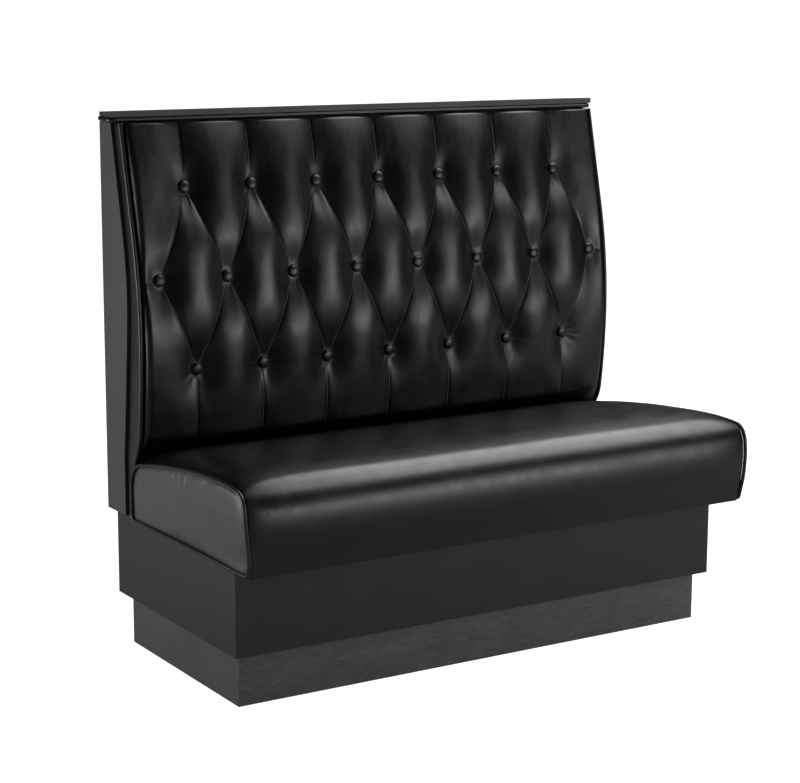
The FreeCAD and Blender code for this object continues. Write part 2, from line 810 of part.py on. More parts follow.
def closed(edges, x, outline, foot_z):
    start, end = outline.pieces[0][0], outline.pieces[-1][1]
    return edges + [segment(Vector(x, end[0], foot_z), Vector(x, start[0], foot_z))]


def make_seat_cover():
    cover_sections = []
    foam_sections = []
    for x, crown in seat_stations():
        outer = seat_outline(crown, 0, box_top)
        inner = seat_outline(crown, seat_cover_thickness, box_top)
        rear = segment(Vector(x, outer.at[0], box_top), Vector(x, inner.at[0], box_top))
        front = segment(Vector(x, inner.pieces[0][0][0], box_top), Vector(x, outer.pieces[0][0][0], box_top))
        cover_sections.append(Part.Wire(outer.edges(x) + [rear] + inner.edges(x)[::-1] + [front]))
        foam_x = x * (cover_half - soft_clearance) / cover_half
        core = seat_outline(crown, seat_cover_thickness + soft_clearance, box_top)
        foam_sections.append(Part.Wire(closed(core.edges(foam_x), foam_x, core, box_top)))
    save("seat_cover", Part.makeLoft(cover_sections, True, False))
    foam = Part.makeLoft(foam_sections, True, False)
    frame = block(-frame_half, frame_half, frame_front_y, frame_back_y, box_top - overrun, foam_bottom)
    save("seat_foam", foam.cut(frame))


# Frame of the seat, inside the foam
frame_half = cover_half - foam_wrap
frame_front_y = seat_front_y + seat_foot_share * seat_depth + foam_wrap
frame_back_y = seat_front_y + seat_depth - crown_rise * seat_rear_crown_share - foam_wrap
rail_bottom = box_top + dust_cover
rail_top = rail_bottom + seat_rail
wire_z = rail_top + clip_wall + thread_clearance + spring_wire_radius
insulator_bottom = wire_z + spring_wire_radius + thread_clearance + clip_wall
foam_bottom = insulator_bottom + insulator


def make_seat_frame():
    front_inner = frame_front_y + seat_rail_width
    back_inner = frame_back_y - seat_rail_width
    end_inner = frame_half - seat_rail_width
    save("seat_front_rail", block(-frame_half, frame_half, frame_front_y, front_inner, rail_bottom, rail_top))
    save("seat_back_rail", block(-frame_half, frame_half, back_inner, frame_back_y, rail_bottom, rail_top))
    end = block(end_inner, frame_half, front_inner, back_inner, rail_bottom, rail_top)
    save("seat_end_rails", end, mirrored(end))
    stretcher_x = stretcher_share * frame_half
    x0 = stretcher_x - board / 2
    stretcher = block(x0, x0 + board, front_inner, back_inner, rail_bottom, rail_top - stretcher_drop)
    save("seat_stretchers", stretcher, mirrored(stretcher))
    cover = block(-frame_half, frame_half, frame_front_y, frame_back_y, box_top, rail_bottom)
    save("seat_dust_cover", cover)
    sheet = block(-frame_half, frame_half, frame_front_y, frame_back_y, insulator_bottom, foam_bottom)
    save("seat_insulator", sheet)
    cleat_x = half_box - board - cleat_clearance
    middle_y = (box_front_y + board + top_rail_width + rear_deck_front_y) / 2
    y0 = middle_y - cleat_length / 2
    y1 = middle_y + cleat_length / 2
    cleat = block(cleat_x - cleat_section, cleat_x, y0, y1, box_top - cleat_section, box_top)
    save("seat_locating_cleats", cleat, mirrored(cleat))
    make_springs(frame_front_y + seat_rail_width / 2, frame_back_y - seat_rail_width / 2)


# One spring winds to and fro between the two rails, flat, in runs joined by quarter turns
def spring_path(x, front_y, bend):
    edges = []
    half_run = spring_run / 2
    quarter = math.sqrt(0.5) * bend
    for wave in range(spring_waves):
        side = 1 if wave % 2 == 0 else -1
        y = front_y + wave * 2 * bend
        turn_x = x + side * half_run
        edges.append(segment(Vector(x - side * half_run, y, wire_z), Vector(turn_x, y, wire_z)))
        far = Vector(turn_x + side * bend, y + bend, wire_z)
        near_middle = Vector(turn_x + side * quarter, y + bend - quarter, wire_z)
        far_middle = Vector(turn_x + side * quarter, y + bend + quarter, wire_z)
        edges.append(Part.Arc(Vector(turn_x, y, wire_z), near_middle, far).toShape())
        edges.append(Part.Arc(far, far_middle, Vector(turn_x, y + 2 * bend, wire_z)).toShape())
    side = 1 if spring_waves % 2 == 0 else -1
    y = front_y + spring_waves * 2 * bend
    edges.append(segment(Vector(x - side * half_run, y, wire_z), Vector(x + side * half_run, y, wire_z)))
    return Part.Wire(edges)


def make_springs(front_y, rear_y):
    springs = []
    clips = []
    bend = (rear_y - front_y) / (2 * spring_waves)
    bore = spring_wire_radius + thread_clearance
    pitch = 2 * (frame_half - spring_end_gap) / (spring_count - 1)
    for number in range(spring_count):
        x = (number - (spring_count - 1) / 2) * pitch
        start = Vector(x - spring_run / 2, front_y, wire_z)
        springs.append(swept(spring_path(x, front_y, bend), start, sideways, spring_wire_radius))
        for y in (front_y, rear_y):
            reach = bore + clip_wall
            clip = block(x - clip_length / 2, x + clip_length / 2, y - reach, y + reach, rail_top, wire_z + reach)
            clips.append(clip.cut(rod(bore, spring_run, Vector(x - spring_run / 2, y, wire_z), sideways)))
    save("seat_springs", *springs)
    save("spring_clips", *clips)


# The welt round each end of the seat, and the flat end panel inside it
def make_seat_ends():
    welt_z = box_top + seat_welt_radius
    welt_x = cover_half + seat_welt_radius
    joint_y = frame_back_y - foam_wrap
    front = seat_front(0, 0, welt_z + welt_bend / 2)
    front.turn_level(welt_z)
    front.line_to((joint_y, welt_z))
    path = seat_back(0, 0)
    path.line_to((path.at[0], welt_z + welt_bend))
    path.turn_to((-1, 0), welt_bend * math.sqrt(2))
    path.line_to((joint_y + soft_clearance, welt_z))
    path.after(front)
    start = Vector(welt_x, joint_y, welt_z)
    welt = swept(Part.Wire(path.edges(welt_x)), start, backwards, seat_welt_radius)
    save("seat_welts", welt, mirrored(welt))

    x = cover_half + soft_clearance
    gap = segment(Vector(x, joint_y, welt_z), Vector(x, joint_y + soft_clearance, welt_z))
    middle_line = Part.Face(Part.Wire(path.edges(x) + [gap]))
    face = middle_line.makeOffset2D(-seat_welt_radius - soft_clearance)
    thickness = seat_welt_radius + end_panel_crown - 2 * soft_clearance
    panel = face.extrude(sideways * thickness)
    outer_edges = [edge for edge in panel.Edges if edge.BoundBox.XMin > x + thickness / 2]
    panel = panel.makeFillet(end_panel_crown, outer_edges)
    save("seat_right_end_panel", panel)
    save("seat_left_end_panel", mirrored(panel))


make_plinth()
make_box()
make_back_bolts()
make_back_frame()
make_pad()
make_buttons()
make_pad_ends()
make_cap()
make_seat_frame()
make_seat_cover()
make_seat_ends()
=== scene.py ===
import json
import math

import bmesh
import bpy
import numpy as np
from mathutils import Matrix, Vector, noise


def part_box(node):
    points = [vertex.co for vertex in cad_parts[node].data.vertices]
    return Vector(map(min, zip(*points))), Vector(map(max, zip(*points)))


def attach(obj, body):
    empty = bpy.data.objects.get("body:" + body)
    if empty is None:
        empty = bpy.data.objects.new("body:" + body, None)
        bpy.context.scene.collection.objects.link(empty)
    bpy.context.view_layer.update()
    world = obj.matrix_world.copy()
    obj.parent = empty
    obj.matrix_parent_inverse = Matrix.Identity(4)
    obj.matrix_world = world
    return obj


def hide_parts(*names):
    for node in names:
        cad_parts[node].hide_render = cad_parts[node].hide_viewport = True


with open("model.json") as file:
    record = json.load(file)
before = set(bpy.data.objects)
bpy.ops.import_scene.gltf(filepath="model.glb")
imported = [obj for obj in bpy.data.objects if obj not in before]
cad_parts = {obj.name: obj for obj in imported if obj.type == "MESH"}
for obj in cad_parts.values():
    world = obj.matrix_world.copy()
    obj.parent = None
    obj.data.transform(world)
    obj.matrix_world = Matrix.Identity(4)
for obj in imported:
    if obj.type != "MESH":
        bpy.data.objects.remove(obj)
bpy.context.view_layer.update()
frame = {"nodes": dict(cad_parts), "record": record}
nodes = frame["nodes"]
bpy.ops.object.select_all(action="DESELECT")


class Wire:
    # A node's output that can be used in Python sums

    def __init__(self, owner, socket):
        self.owner = owner
        self.socket = socket

    def __add__(self, other):
        return self.owner.node("Math", {"operation": "ADD"}, {0: self, 1: other})

    def __mul__(self, other):
        return self.owner.node("Math", {"operation": "MULTIPLY"}, {0: self, 1: other})

    __radd__ = __add__
    __rmul__ = __mul__


class Wiring:
    # The node tree of a material or world, and the one way in which nodes are added to it

    def __init__(self, owner):
        owner.use_nodes = True
        self.tree = owner.node_tree

    def feed(self, socket, value):
        if isinstance(value, Wire):
            self.tree.links.new(value.socket, socket)
        else:
            socket.default_value = value

    def node(self, kind, settings=None, values=None, output=0):
        made = self.tree.nodes.new("ShaderNode" + kind)
        for key, value in (settings or {}).items():
            setattr(made, key, value)
        for key, value in (values or {}).items():
            self.feed(made.inputs[key], value)
        return Wire(self, made.outputs[output])


class Finish(Wiring):
    # A material with the patterns that its surface is made of

    def __init__(self, name, **fixed):
        self.material = bpy.data.materials.new(name)
        super().__init__(self.material)
        self.shader = self.tree.nodes["Principled BSDF"]
        for socket, value in fixed.items():
            self.shader.inputs[socket.replace("_", " ")].default_value = value

    def place(self, stretch=(1.0, 1.0, 1.0), turn=(0.0, 0.0, 0.0)):
        made = self.node("TexCoord", output=3)
        return self.node("Mapping", None, {"Vector": made, "Scale": stretch, "Rotation": turn})

    def mottle(self, row):
        where = self.place(*row[4:6])
        values = {"Vector": where, "Scale": row[0], "Detail": row[1]}
        values["Roughness"] = row[6] if len(row) > 6 else 0.5
        return self.node("TexNoise", None, values)

    def cells(self, row):
        return self.node("TexVoronoi", {"feature": "F1"}, {"Vector": self.place(), "Scale": row[0]})

    def weave(self, direction, row, pitch):
        settings = {"wave_type": "BANDS", "bands_direction": direction}
        values = {"Vector": self.place(), "Scale": row[0] / pitch, "Distortion": row[1]}
        return self.node("TexWave", settings, values)

    def spread(self, wire, source, target=(0.0, 1.0)):
        values = {"Value": wire, "From Min": source[0], "From Max": source[1]}
        values.update({"To Min": target[0], "To Max": target[1]})
        return self.node("MapRange", {"clamp": True}, values)

    def tint(self, share, dark, pale):
        shades = [shade if isinstance(shade, Wire) else (*shade, 1.0) for shade in (dark, pale)]
        values = {0: share, 6: shades[0], 7: shades[1]}
        return self.node("Mix", {"data_type": "RGBA"}, values, output=2)

    def relief(self, *layers):
        # Each layer is (height, row of its pattern, share of the row's strength)
        normal = None
        for height, row, share in layers:
            values = {"Height": height, "Strength": row[2] * share, "Distance": row[3]}
            if normal:
                values["Normal"] = normal
            normal = self.node("Bump", None, values)
        self.feed(self.shader.inputs["Normal"], normal)

    def paint(self, colour, roughness=None):
        self.feed(self.shader.inputs["Base Color"], colour)
        if roughness is not None:
            self.feed(self.shader.inputs["Roughness"], roughness)
        return self.material


# Patterns are rows of scale, detail, strength of the relief and its depth in metres, then
# stretch, turn and roughness where they have them
vinylLook = {
    "pebbles": (900.0, 0.0, 0.10, 0.0003),
    "fine": (420.0, 4.0, 0.10, 0.0004),
    "drawn": (26.0, 3.0, 0.16, 0.002, (1.0, 1.0, 0.22)),
    "streaks": (120.0, 4.0, 0.22, 0.0006, (1.0, 1.0, 0.16), (0.0, 0.35, 0.0), 0.65),
    "broad": (7.0, 2.0, 0.10, 0.004),
    "shadeRange": (0.7, 1.3),
    "roughRange": (0.75, 1.25),
}


def makeVinyl(name, dark, pale, rough, creases=1.0):
    finish = Finish(name)
    look = vinylLook
    pebbles = finish.cells(look["pebbles"])
    kinds = ("fine", "drawn", "streaks", "broad")
    fine, drawn, streaks, broad = [finish.mottle(look[kind]) for kind in kinds]
    finish.relief(
        (pebbles, look["pebbles"], 1.0),
        (fine, look["fine"], 1.0),
        (drawn, look["drawn"], creases),
        (streaks, look["streaks"], creases),
        (broad, look["broad"], 1.0),
    )
    shade = finish.tint(finish.spread(fine + broad, look["shadeRange"]), dark, pale)
    return finish.paint(shade, finish.spread(drawn + streaks, look["roughRange"], rough))


laminateLook = {
    "specks": (700.0, 5.0, 0.12, 0.0003),
    "coarseSpecks": (500.0, 5.0, 0.12, 0.0003),
    "clouds": (9.0, 3.0),
    "speckShare": 0.6,
    "shadeRange": (0.35, 0.65),
    "roughRange": (0.3, 0.7),
}


def makeLaminate(name, dark, pale, rough=(0.5, 0.62), pattern="specks"):
    finish = Finish(name)
    look = laminateLook
    specks = finish.mottle(look[pattern])
    clouds = finish.mottle(look["clouds"])
    finish.relief((specks, look[pattern], 1.0))
    both = specks * look["speckShare"] + clouds * (1 - look["speckShare"])
    shade = finish.tint(finish.spread(both, look["shadeRange"]), dark, pale)
    return finish.paint(shade, finish.spread(clouds, look["roughRange"], rough))


slateLook = {
    "clouds": (16.0, 5.0, 0.1, 0.001, (1.0, 1.0, 1.6)),
    "veins": (110.0, 6.0, 0.18, 0.0008, (0.35, 1.0, 1.6), (0.0, 0.6, 0.0), 0.75),
    "veinRange": (0.42, 0.62),
    "veinShare": 0.42,
    "cloudShares": (0.12, 0.34),
    "range": (0.3, 0.7),
}


def makeSlate(name, dark, pale, rough):
    finish = Finish(name)
    look = slateLook
    clouds = finish.mottle(look["clouds"])
    veins = finish.mottle(look["veins"])
    threads = finish.spread(veins, look["veinRange"])
    share = finish.spread(clouds, look["range"], look["cloudShares"]) + threads * look["veinShare"]
    finish.relief((veins, look["veins"], 1.0), (clouds, look["clouds"], 1.0))
    return finish.paint(finish.tint(share, dark, pale), finish.spread(veins, look["range"], rough))


woodLook = {
    "grain": (9.0, 6.0, 0.15, 0.0006, (1.0, 14.0, 14.0), (0.0, 0.0, 0.0), 0.6),
    "pores": (260.0, 3.0, 0.12, 0.0003, (1.0, 14.0, 14.0)),
    "poreShare": 0.3,
    "shadeRange": (0.5, 0.8),
    "roughRange": (0.3, 0.7),
    "rough": (0.5, 0.65),
}


def makeWood(name, dark, pale):
    finish = Finish(name)
    look = woodLook
    grain = finish.mottle(look["grain"])
    pores = finish.mottle(look["pores"])
    finish.relief((grain, look["grain"], 1.0), (pores, look["pores"], 1.0))
    shade = finish.tint(finish.spread(grain + pores * look["poreShare"], look["shadeRange"]), dark, pale)
    return finish.paint(shade, finish.spread(pores, look["roughRange"], look["rough"]))


smoothLook = {
    "spangle": (240.0, 3.0, 0.1, 0.0002),
    "skin": (800.0, 3.0, 0.12, 0.0002),
    "range": (0.3, 0.7),
}


def makeSmooth(name, dark, pale, rough, pattern="spangle", metallic=1.0):
    finish = Finish(name, Metallic=metallic)
    row = smoothLook[pattern]
    spots = finish.mottle(row)
    finish.relief((spots, row, 1.0))
    return finish.paint(finish.tint(spots, dark, pale), finish.spread(spots, smoothLook["range"], rough))


clothLook = {
    "threads": (0.16, 0.8, 0.3, 0.0003),  # scale times pitch, distortion, strength, depth
    "shadeRange": (0.4, 1.6),
    "rough": (0.75, 0.9),
}


def makeCloth(name, dark, pale, pitch):
    finish = Finish(name, Sheen_Weight=0.3)
    look = clothLook
    warp, weft = [finish.weave(direction, look["threads"], pitch) for direction in "XY"]
    finish.relief((warp + weft, look["threads"], 1.0))
    shade = finish.tint(finish.spread(warp + weft, look["shadeRange"]), dark, pale)
    return finish.paint(shade, finish.spread(warp, (0.0, 1.0), look["rough"]))


foamPores = (700.0, 0.0, 0.5, 0.001)


def makeFoam(name, dark, pale, rough):
    finish = Finish(name)
    pores = finish.cells(foamPores)
    finish.relief((pores, foamPores, 1.0))
    return finish.paint(finish.tint(pores, dark, pale), finish.spread(pores, (0.0, 1.0), rough))


finishes = {
    "black_vinyl": makeVinyl("blackVinyl", (0.0012, 0.0012, 0.0016), (0.0025, 0.0025, 0.0032), (0.3, 0.4)),
    # Painted light: a paler copy of the black vinyl for the seat's end panels, with the light on the ends
    # put into its colour
    "endVinylPaintedLight": makeVinyl("endPanelPaintedLight", (0.044, 0.044, 0.045), (0.061, 0.061, 0.063), (0.42, 0.5)),
    "welt": makeVinyl("weltVinyl", (0.010, 0.010, 0.011), (0.017, 0.017, 0.018), (0.30, 0.38), creases=0.5),
    "thread": makeCloth("blackThread", (0.12, 0.12, 0.125), (0.26, 0.26, 0.27), 0.0004),
    "side_board_laminate": makeLaminate("greyBoard", (0.032, 0.0325, 0.035), (0.044, 0.0445, 0.048)),
    "cap_laminate": makeLaminate(
        "capBoard", (0.026, 0.026, 0.027), (0.044, 0.044, 0.046), (0.45, 0.6), "coarseSpecks"
    ),
    "box_laminate": makeLaminate("boxBoard", (0.0070, 0.0072, 0.0088), (0.0112, 0.0116, 0.0138)),
    "slate_laminate": makeSlate("slateFront", (0.052, 0.052, 0.059), (0.140, 0.140, 0.156), (0.5, 0.66)),
    "plinth_laminate": makeLaminate("plinthBoard", (0.050, 0.049, 0.045), (0.066, 0.064, 0.060)),
    "plywood": makeWood("birchPly", (0.42, 0.29, 0.16), (0.62, 0.47, 0.29)),
    "softwood": makeWood("pineRail", (0.48, 0.32, 0.16), (0.70, 0.52, 0.30)),
    "foam": makeFoam("creamFoam", (0.5, 0.46, 0.33), (0.74, 0.7, 0.55), (0.8, 0.95)),
    "black_cloth": makeCloth("dustCloth", (0.012, 0.012, 0.012), (0.03, 0.03, 0.03), 0.0006),
    "twine": makeCloth("waxedTwine", (0.45, 0.40, 0.30), (0.68, 0.62, 0.50), 0.0005),
    "spring_steel": makeSmooth("oiledSpring", (0.10, 0.10, 0.105), (0.2, 0.2, 0.21), (0.3, 0.42)),
    "plated_steel": makeSmooth("platedSteel", (0.48, 0.48, 0.47), (0.66, 0.66, 0.63), (0.28, 0.42)),
    "nylon": makeSmooth("blackNylon", (0.016, 0.016, 0.016), (0.03, 0.03, 0.03), (0.42, 0.55), "skin", 0.0),
}


def dress(piece, finish):
    piece.data.materials.clear()
    piece.data.materials.append(finishes[finish])


for part in frame["record"]["subparts"]:
    dress(nodes[part["node"]], part["material_slot"])
dress(nodes["plinth_front_board"], "plinth_laminate")  # its edges carry the plinth's laminate
dress(nodes["cap_core"], "cap_laminate")  # its rear edge is edged in black under the cap
print("finishes made")


class SideLine:
    # A side outline in metres, as (distance back, height), of straight runs and arcs
    # Each arc leaves in the direction that the last piece ended in

    def __init__(self, start, direction):
        self.at = np.array(start, float)
        self.direction = np.array(direction, float) / math.hypot(*direction)
        self.runs = []

    def lineTo(self, end, count=12):
        end = np.array(end, float)
        share = np.linspace(0.0, 1.0, count + 1)[:, None]
        self.runs.append(self.at + (end - self.at) * share)
        self.direction = (end - self.at) / np.linalg.norm(end - self.at)
        self.at = end
        return self

    def arcTo(self, end, count=24):
        end = np.array(end, float)
        chord = end - self.at
        normal = np.array([-self.direction[1], self.direction[0]])
        reach = chord @ chord / (2 * (chord @ normal))
        centre = self.at + normal * reach
        across = self.direction[0] * chord[1] - self.direction[1] * chord[0]
        turn = 2 * math.atan2(across, self.direction @ chord)
        angles = np.linspace(0.0, turn, count + 1)
        arm = self.at - centre
        square = np.array([-arm[1], arm[0]])
        self.runs.append(centre + np.cos(angles)[:, None] * arm + np.sin(angles)[:, None] * square)
        self.direction = np.array([
            self.direction[0] * math.cos(turn) - self.direction[1] * math.sin(turn),
            self.direction[0] * math.sin(turn) + self.direction[1] * math.cos(turn),
        ])
        self.at = end
        return self

    def turnTo(self, direction, chord, count=24):
        bisector = self.direction + np.array(direction, float)
        return self.arcTo(self.at + bisector / np.linalg.norm(bisector) * chord, count)

    def turnDown(self, y, count=24):
        bisector = self.direction + np.array([0.0, -1.0])
        return self.turnTo((0, -1), (y - self.at[0]) / bisector[0] * np.linalg.norm(bisector), count)

    def turnLevel(self, z, count=12):
        bisector = self.direction + np.array([1.0, 0.0])
        return self.turnTo((1, 0), (z - self.at[1]) / bisector[1] * np.linalg.norm(bisector), count)

    def points(self):
        return np.vstack([run[:-1] for run in self.runs] + [self.at[None, :]])


backShape = {
    "bottom": 0.277,
    "top": 1.0645,
    "padEdge": (
        (0.230984, 1.0645),
        (0.18055, 0.84999),
        (0.1555, 0.60003),
        (0.167524, 0.45001),
        (0.181552, 0.41198),
    ),
    "padFoot": 0.1975,
    "boardEdge": ((0.270541, 1.0645), (0.222485, 0.84006), (0.211, 0.66996), (0.236534, 0.39985)),
    "halfLength": 0.563,
    "tuck": 0.41198,
    "straightPoints": 60,
    "arcPoints": 300,
    "footPoints": 10,
}


def edgeLine(points):
    # Straight from the top to the second point, then arcs
    line = SideLine(points[0], (0, -1)).lineTo(points[1], backShape["straightPoints"])
    for point in points[2:]:
        line.arcTo(point, backShape["arcPoints"])
    return line


def closedOff(line):
    # The line's points from the bottom up, with a straight foot
    return line.lineTo((line.at[0], backShape["bottom"]), backShape["footPoints"]).points()[::-1]


padLine = edgeLine(backShape["padEdge"]).turnDown(backShape["padFoot"], backShape["straightPoints"])
padLine = closedOff(padLine)
boardLine = closedOff(edgeLine(backShape["boardEdge"]))


def padEdgeAt(z):
    return np.interp(z, padLine[:, 1], padLine[:, 0])


def boardEdgeAt(z):
    return np.interp(z, boardLine[:, 1], boardLine[:, 0])


def pickOnly(piece):
    bpy.ops.object.select_all(action="DESELECT")
    piece.select_set(True)
    bpy.context.view_layer.objects.active = piece


def gridPiece(name, columns, rows, place):
    # A grid primitive whose points are put where place(u, v) says, u across and v up, each from 0 to 1
    bpy.ops.object.select_all(action="DESELECT")
    bpy.ops.mesh.primitive_grid_add(x_subdivisions=columns, y_subdivisions=rows, size=1.0)
    piece = bpy.context.object
    piece.name = name
    piece.data.name = name
    corners = np.zeros(len(piece.data.vertices) * 3)
    piece.data.vertices.foreach_get("co", corners)
    corners = corners.reshape(-1, 3) + 0.5
    across = np.rint(corners[:, 0] * columns) / columns
    upwards = np.rint(corners[:, 1] * rows) / rows
    moved = np.stack(place(across, upwards), axis=1)
    piece.data.vertices.foreach_set("co", moved.ravel())
    piece.data.update()
    return piece


def meshPiece(name, made):
    # An object from a bmesh, which is freed
    mesh = bpy.data.meshes.new(name)
    made.to_mesh(mesh)
    made.free()
    piece = bpy.data.objects.new(name, mesh)
    bpy.context.scene.collection.objects.link(piece)
    return piece


def tidyMesh(piece, weld, angle, fill=False):
    # Doubles merged, holes filled where asked, faces turned outwards, smooth up to an angle in degrees
    pickOnly(piece)
    bpy.ops.object.mode_set(mode="EDIT")
    bpy.ops.mesh.select_all(action="SELECT")
    bpy.ops.mesh.remove_doubles(threshold=weld)
    bpy.ops.mesh.dissolve_degenerate(threshold=weld / 4)
    if fill:
        kinds = ("extend", "use_wire", "use_multi_face", "use_non_contiguous", "use_verts")
        bpy.ops.mesh.select_all(action="DESELECT")
        bpy.ops.mesh.select_mode(type="EDGE")
        bpy.ops.mesh.select_non_manifold(use_boundary=True, **{kind: False for kind in kinds})
        bpy.ops.mesh.fill_holes(sides=0)
    bpy.ops.mesh.select_all(action="SELECT")
    bpy.ops.mesh.normals_make_consistent(inside=False)
    bpy.ops.mesh.select_all(action="DESELECT")
    bpy.ops.object.mode_set(mode="OBJECT")
    bpy.ops.object.shade_smooth_by_angle(angle=math.radians(angle))
    piece.select_set(False)


def thicken(piece, thickness):
    # The wall goes inwards from the faces that show
    pickOnly(piece)
    wall = piece.modifiers.new("wall", "SOLIDIFY")
    wall.thickness = thickness
    wall.offset = -1.0
    bpy.ops.object.modifier_apply(modifier="wall")
    piece.select_set(False)


def tubePiece(name, path, radius, closed=False, sides=4):
    # A cord along a path of points, as a bevelled curve made a mesh
    curve = bpy.data.curves.new(name, "CURVE")
    curve.dimensions = "3D"
    curve.bevel_depth = radius
    curve.bevel_resolution = sides
    curve.use_fill_caps = not closed
    spline = curve.splines.new("POLY")
    spline.points.add(len(path) - 1)
    spline.points.foreach_set("co", np.hstack([path, np.ones((len(path), 1))]).ravel())
    spline.use_cyclic_u = closed
    piece = bpy.data.objects.new(name, curve)
    bpy.context.scene.collection.objects.link(piece)
    pickOnly(piece)
    bpy.ops.object.convert(target="MESH")
    bpy.ops.object.shade_smooth()
    piece.select_set(False)
    return piece


def mirrorCopy(piece, name):
    copy = piece.copy()
    copy.data = piece.data.copy()
    copy.name = name
    copy.data.name = name
    bpy.context.scene.collection.objects.link(copy)
    copy.data.transform(Matrix.Scale(-1.0, 4, Vector((1, 0, 0))))
    copy.data.flip_normals()
    return copy


def settle(piece, body, finish, *stoodFor, slot="black_vinyl"):
    dress(piece, finish)
    if stoodFor:
        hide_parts(*stoodFor)
    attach(piece, body)
    return piece


def settlePair(piece, leftName, body, finish, rightNode, leftNode):
    # The piece at the right end, and its mirror at the left
    left = mirrorCopy(piece, leftName)
    settle(piece, body, finish, rightNode)
    settle(left, body, finish, leftNode)
    return left


def evenly(path, step):
    # The same line with points at even distances
    lengths = np.concatenate([[0.0], np.cumsum(np.linalg.norm(np.diff(path, axis=0), axis=1))])
    count = max(2, int(round(lengths[-1] / step)) + 1)
    where = np.linspace(0.0, lengths[-1], count)
    return np.stack([np.interp(where, lengths, path[:, axis]) for axis in range(path.shape[1])], axis=1)


def eased(share):
    share = np.clip(share, 0.0, 1.0)
    return share * share * (3 - 2 * share)


def softNoise(x, z, scale, seed, flatten=0.6):
    return np.array([noise.noise(Vector((a * scale, b * scale * flatten, seed))) for a, b in zip(x, z)])


tufts = {
    "rows": (0.9385, 0.7605, 0.5805),
    "counts": (7, 8, 7),
    "pitch": 0.150,
    "pit": 0.0010,
    "pleats": (  # (heights, how far in front of the pad's edge line)
        (0.277, 0.412, 0.50, 0.584, 0.63, 0.82, 0.88, 0.94, 1.0, 1.0645),
        (0.0, 0.007, 0.0120, 0.0140, 0.0160, 0.0165, 0.0155, 0.0120, 0.0080, 0.0045),
    ),
    "sideLevel": ((0.277, 0.412, 0.50, 0.60, 0.95, 1.0645), (0.0, 0.007, 0.0115, 0.0140, 0.0140, 0.0095)),
    "crest": (
        (0.277, 0.45, 0.47, 0.50, 0.53, 0.56, 0.59, 0.63, 1.0645),
        (0.0180, 0.0185, 0.0193, 0.0213, 0.0236, 0.0255, 0.0268, 0.0275, 0.0275),
    ),
    "topCrest": 0.0120,
    "topFall": 1.8,
    "cellShape": (2.4, 0.95),
    "topRound": 0.0025,
    "topDrop": 0.15,
    "fade": 0.040,
    "crease": (0.0016, 0.0021),
    "funnel": (0.0105, 0.031, 1.35),  # flat out to here, how fast it rises, its shape
    "funnelHeight": (0.64, 0.62),  # how much longer than wide the funnels are, above and below
    "sideHump": (0.0020, 0.9),
    "sideRun": 0.060,
    "levelPleat": (0.0045, 0.0075, 0.5),  # depth, half width, share of the depth lost at the edge
    "edgeRound": 0.011,
    "edgeDrop": 0.002,
    "cellColumns": 24,
    "sideColumns": 22,
    "levelCounts": (16, 48, 54, 54, 40),
    "topLevel": 1.0642,
    "bunching": 0.5,
    "unevenness": ((0.0009, 14.0, 3.1), (0.0003, 55.0, 8.4)),  # (depth, scale, seed)
    "inset": 0.0003,
    "backGap": 0.0008,
}
folds = {
    "seed": 7,
    "depth": 0.00022,
    "waves": ((7, 1.0), (12, 1.0), (19, 0.7)),  # (number round the button, strength)
    "strengths": (0.3, 1.0),
    "ring": (0.024, 0.013),
    "lowerShare": (0.6, 0.02),
    "lastRow": 1.5,
    "otherRows": 0.8,
}
buttonRadius = 0.013
outerCell = 3  # the diamonds are numbered from -3 to 3


def buttonSpots():
    spots = []
    for z, count in zip(tufts["rows"], tufts["counts"]):
        spots += [((number - (count - 1) / 2) * tufts["pitch"], z) for number in range(count)]
    return spots


def diamondHalf(z):
    # Half the width of the diamonds at a height, 0 at the outer rows and beyond
    first, second, third = tufts["rows"]
    reach = np.where(z >= second, first - second, second - third)
    return np.clip(1.0 - np.abs(z - second) / reach, 0.0, 1.0) * tufts["pitch"] / 2


def pleatRise(z):
    # How far the pleats stand in front of the pad's edge line, away from the buttons
    return np.interp(z, *tufts["pleats"])


def crestRise(width, z):
    share = np.clip(width / tufts["pitch"], 0.0, 1.0)
    pleat = pleatRise(z)
    above = np.clip((z - tufts["rows"][0]) / (backShape["top"] - tufts["rows"][0]), 0.0, 1.0)
    full = np.interp(z, *tufts["crest"])
    full = full + (tufts["topCrest"] - full) * above ** tufts["topFall"]
    return pleat + (full - pleat) * (1.0 - (1.0 - share) ** 2)


def cellProfile(place):
    # From 0 at the pleats, where place is -1 or 1, to 1 at the crest
    flatness, fullness = tufts["cellShape"]
    return (1.0 - np.abs(place) ** flatness) ** fullness


def columnPlan():
    # For each column of the front: the cell that it belongs to, and where it lies across the cell
    side, cell = tufts["sideColumns"], tufts["cellColumns"]
    across = [math.sin((number / cell - 0.5) * math.pi) for number in range(cell)]
    plan = [("left", 0, 0.5 - 0.5 * math.cos(number / side * math.pi)) for number in range(side)]
    for diamond in range(-outerCell, outerCell + 1):
        plan += [("diamond", diamond, place) for place in across]
        if diamond < outerCell:
            plan += [("between", diamond, place) for place in across]
    plan += [("right", 0, 0.5 - 0.5 * math.cos(number / side * math.pi)) for number in range(side + 1)]
    return plan


def levelPlan():
    # Heights of the rows of points, closer together near the rows of buttons
    parts = []
    bunching = tufts["bunching"]
    heights = [backShape["bottom"], backShape["tuck"], *tufts["rows"][::-1], tufts["topLevel"]]
    for low, high, count in zip(heights, heights[1:], tufts["levelCounts"]):
        share = np.arange(count) / count
        if low > backShape["bottom"]:
            share = (1 - bunching) * share + bunching * 0.5 * (1 - np.cos(share * math.pi))
        parts.append(low + (high - low) * share)
    return np.concatenate(parts + [heights[-1:]])


plan = columnPlan()
levels = levelPlan()


def creaseDepth(distance):
    depth, width = tufts["crease"]
    return -depth * np.exp(-((distance / width) ** 2))


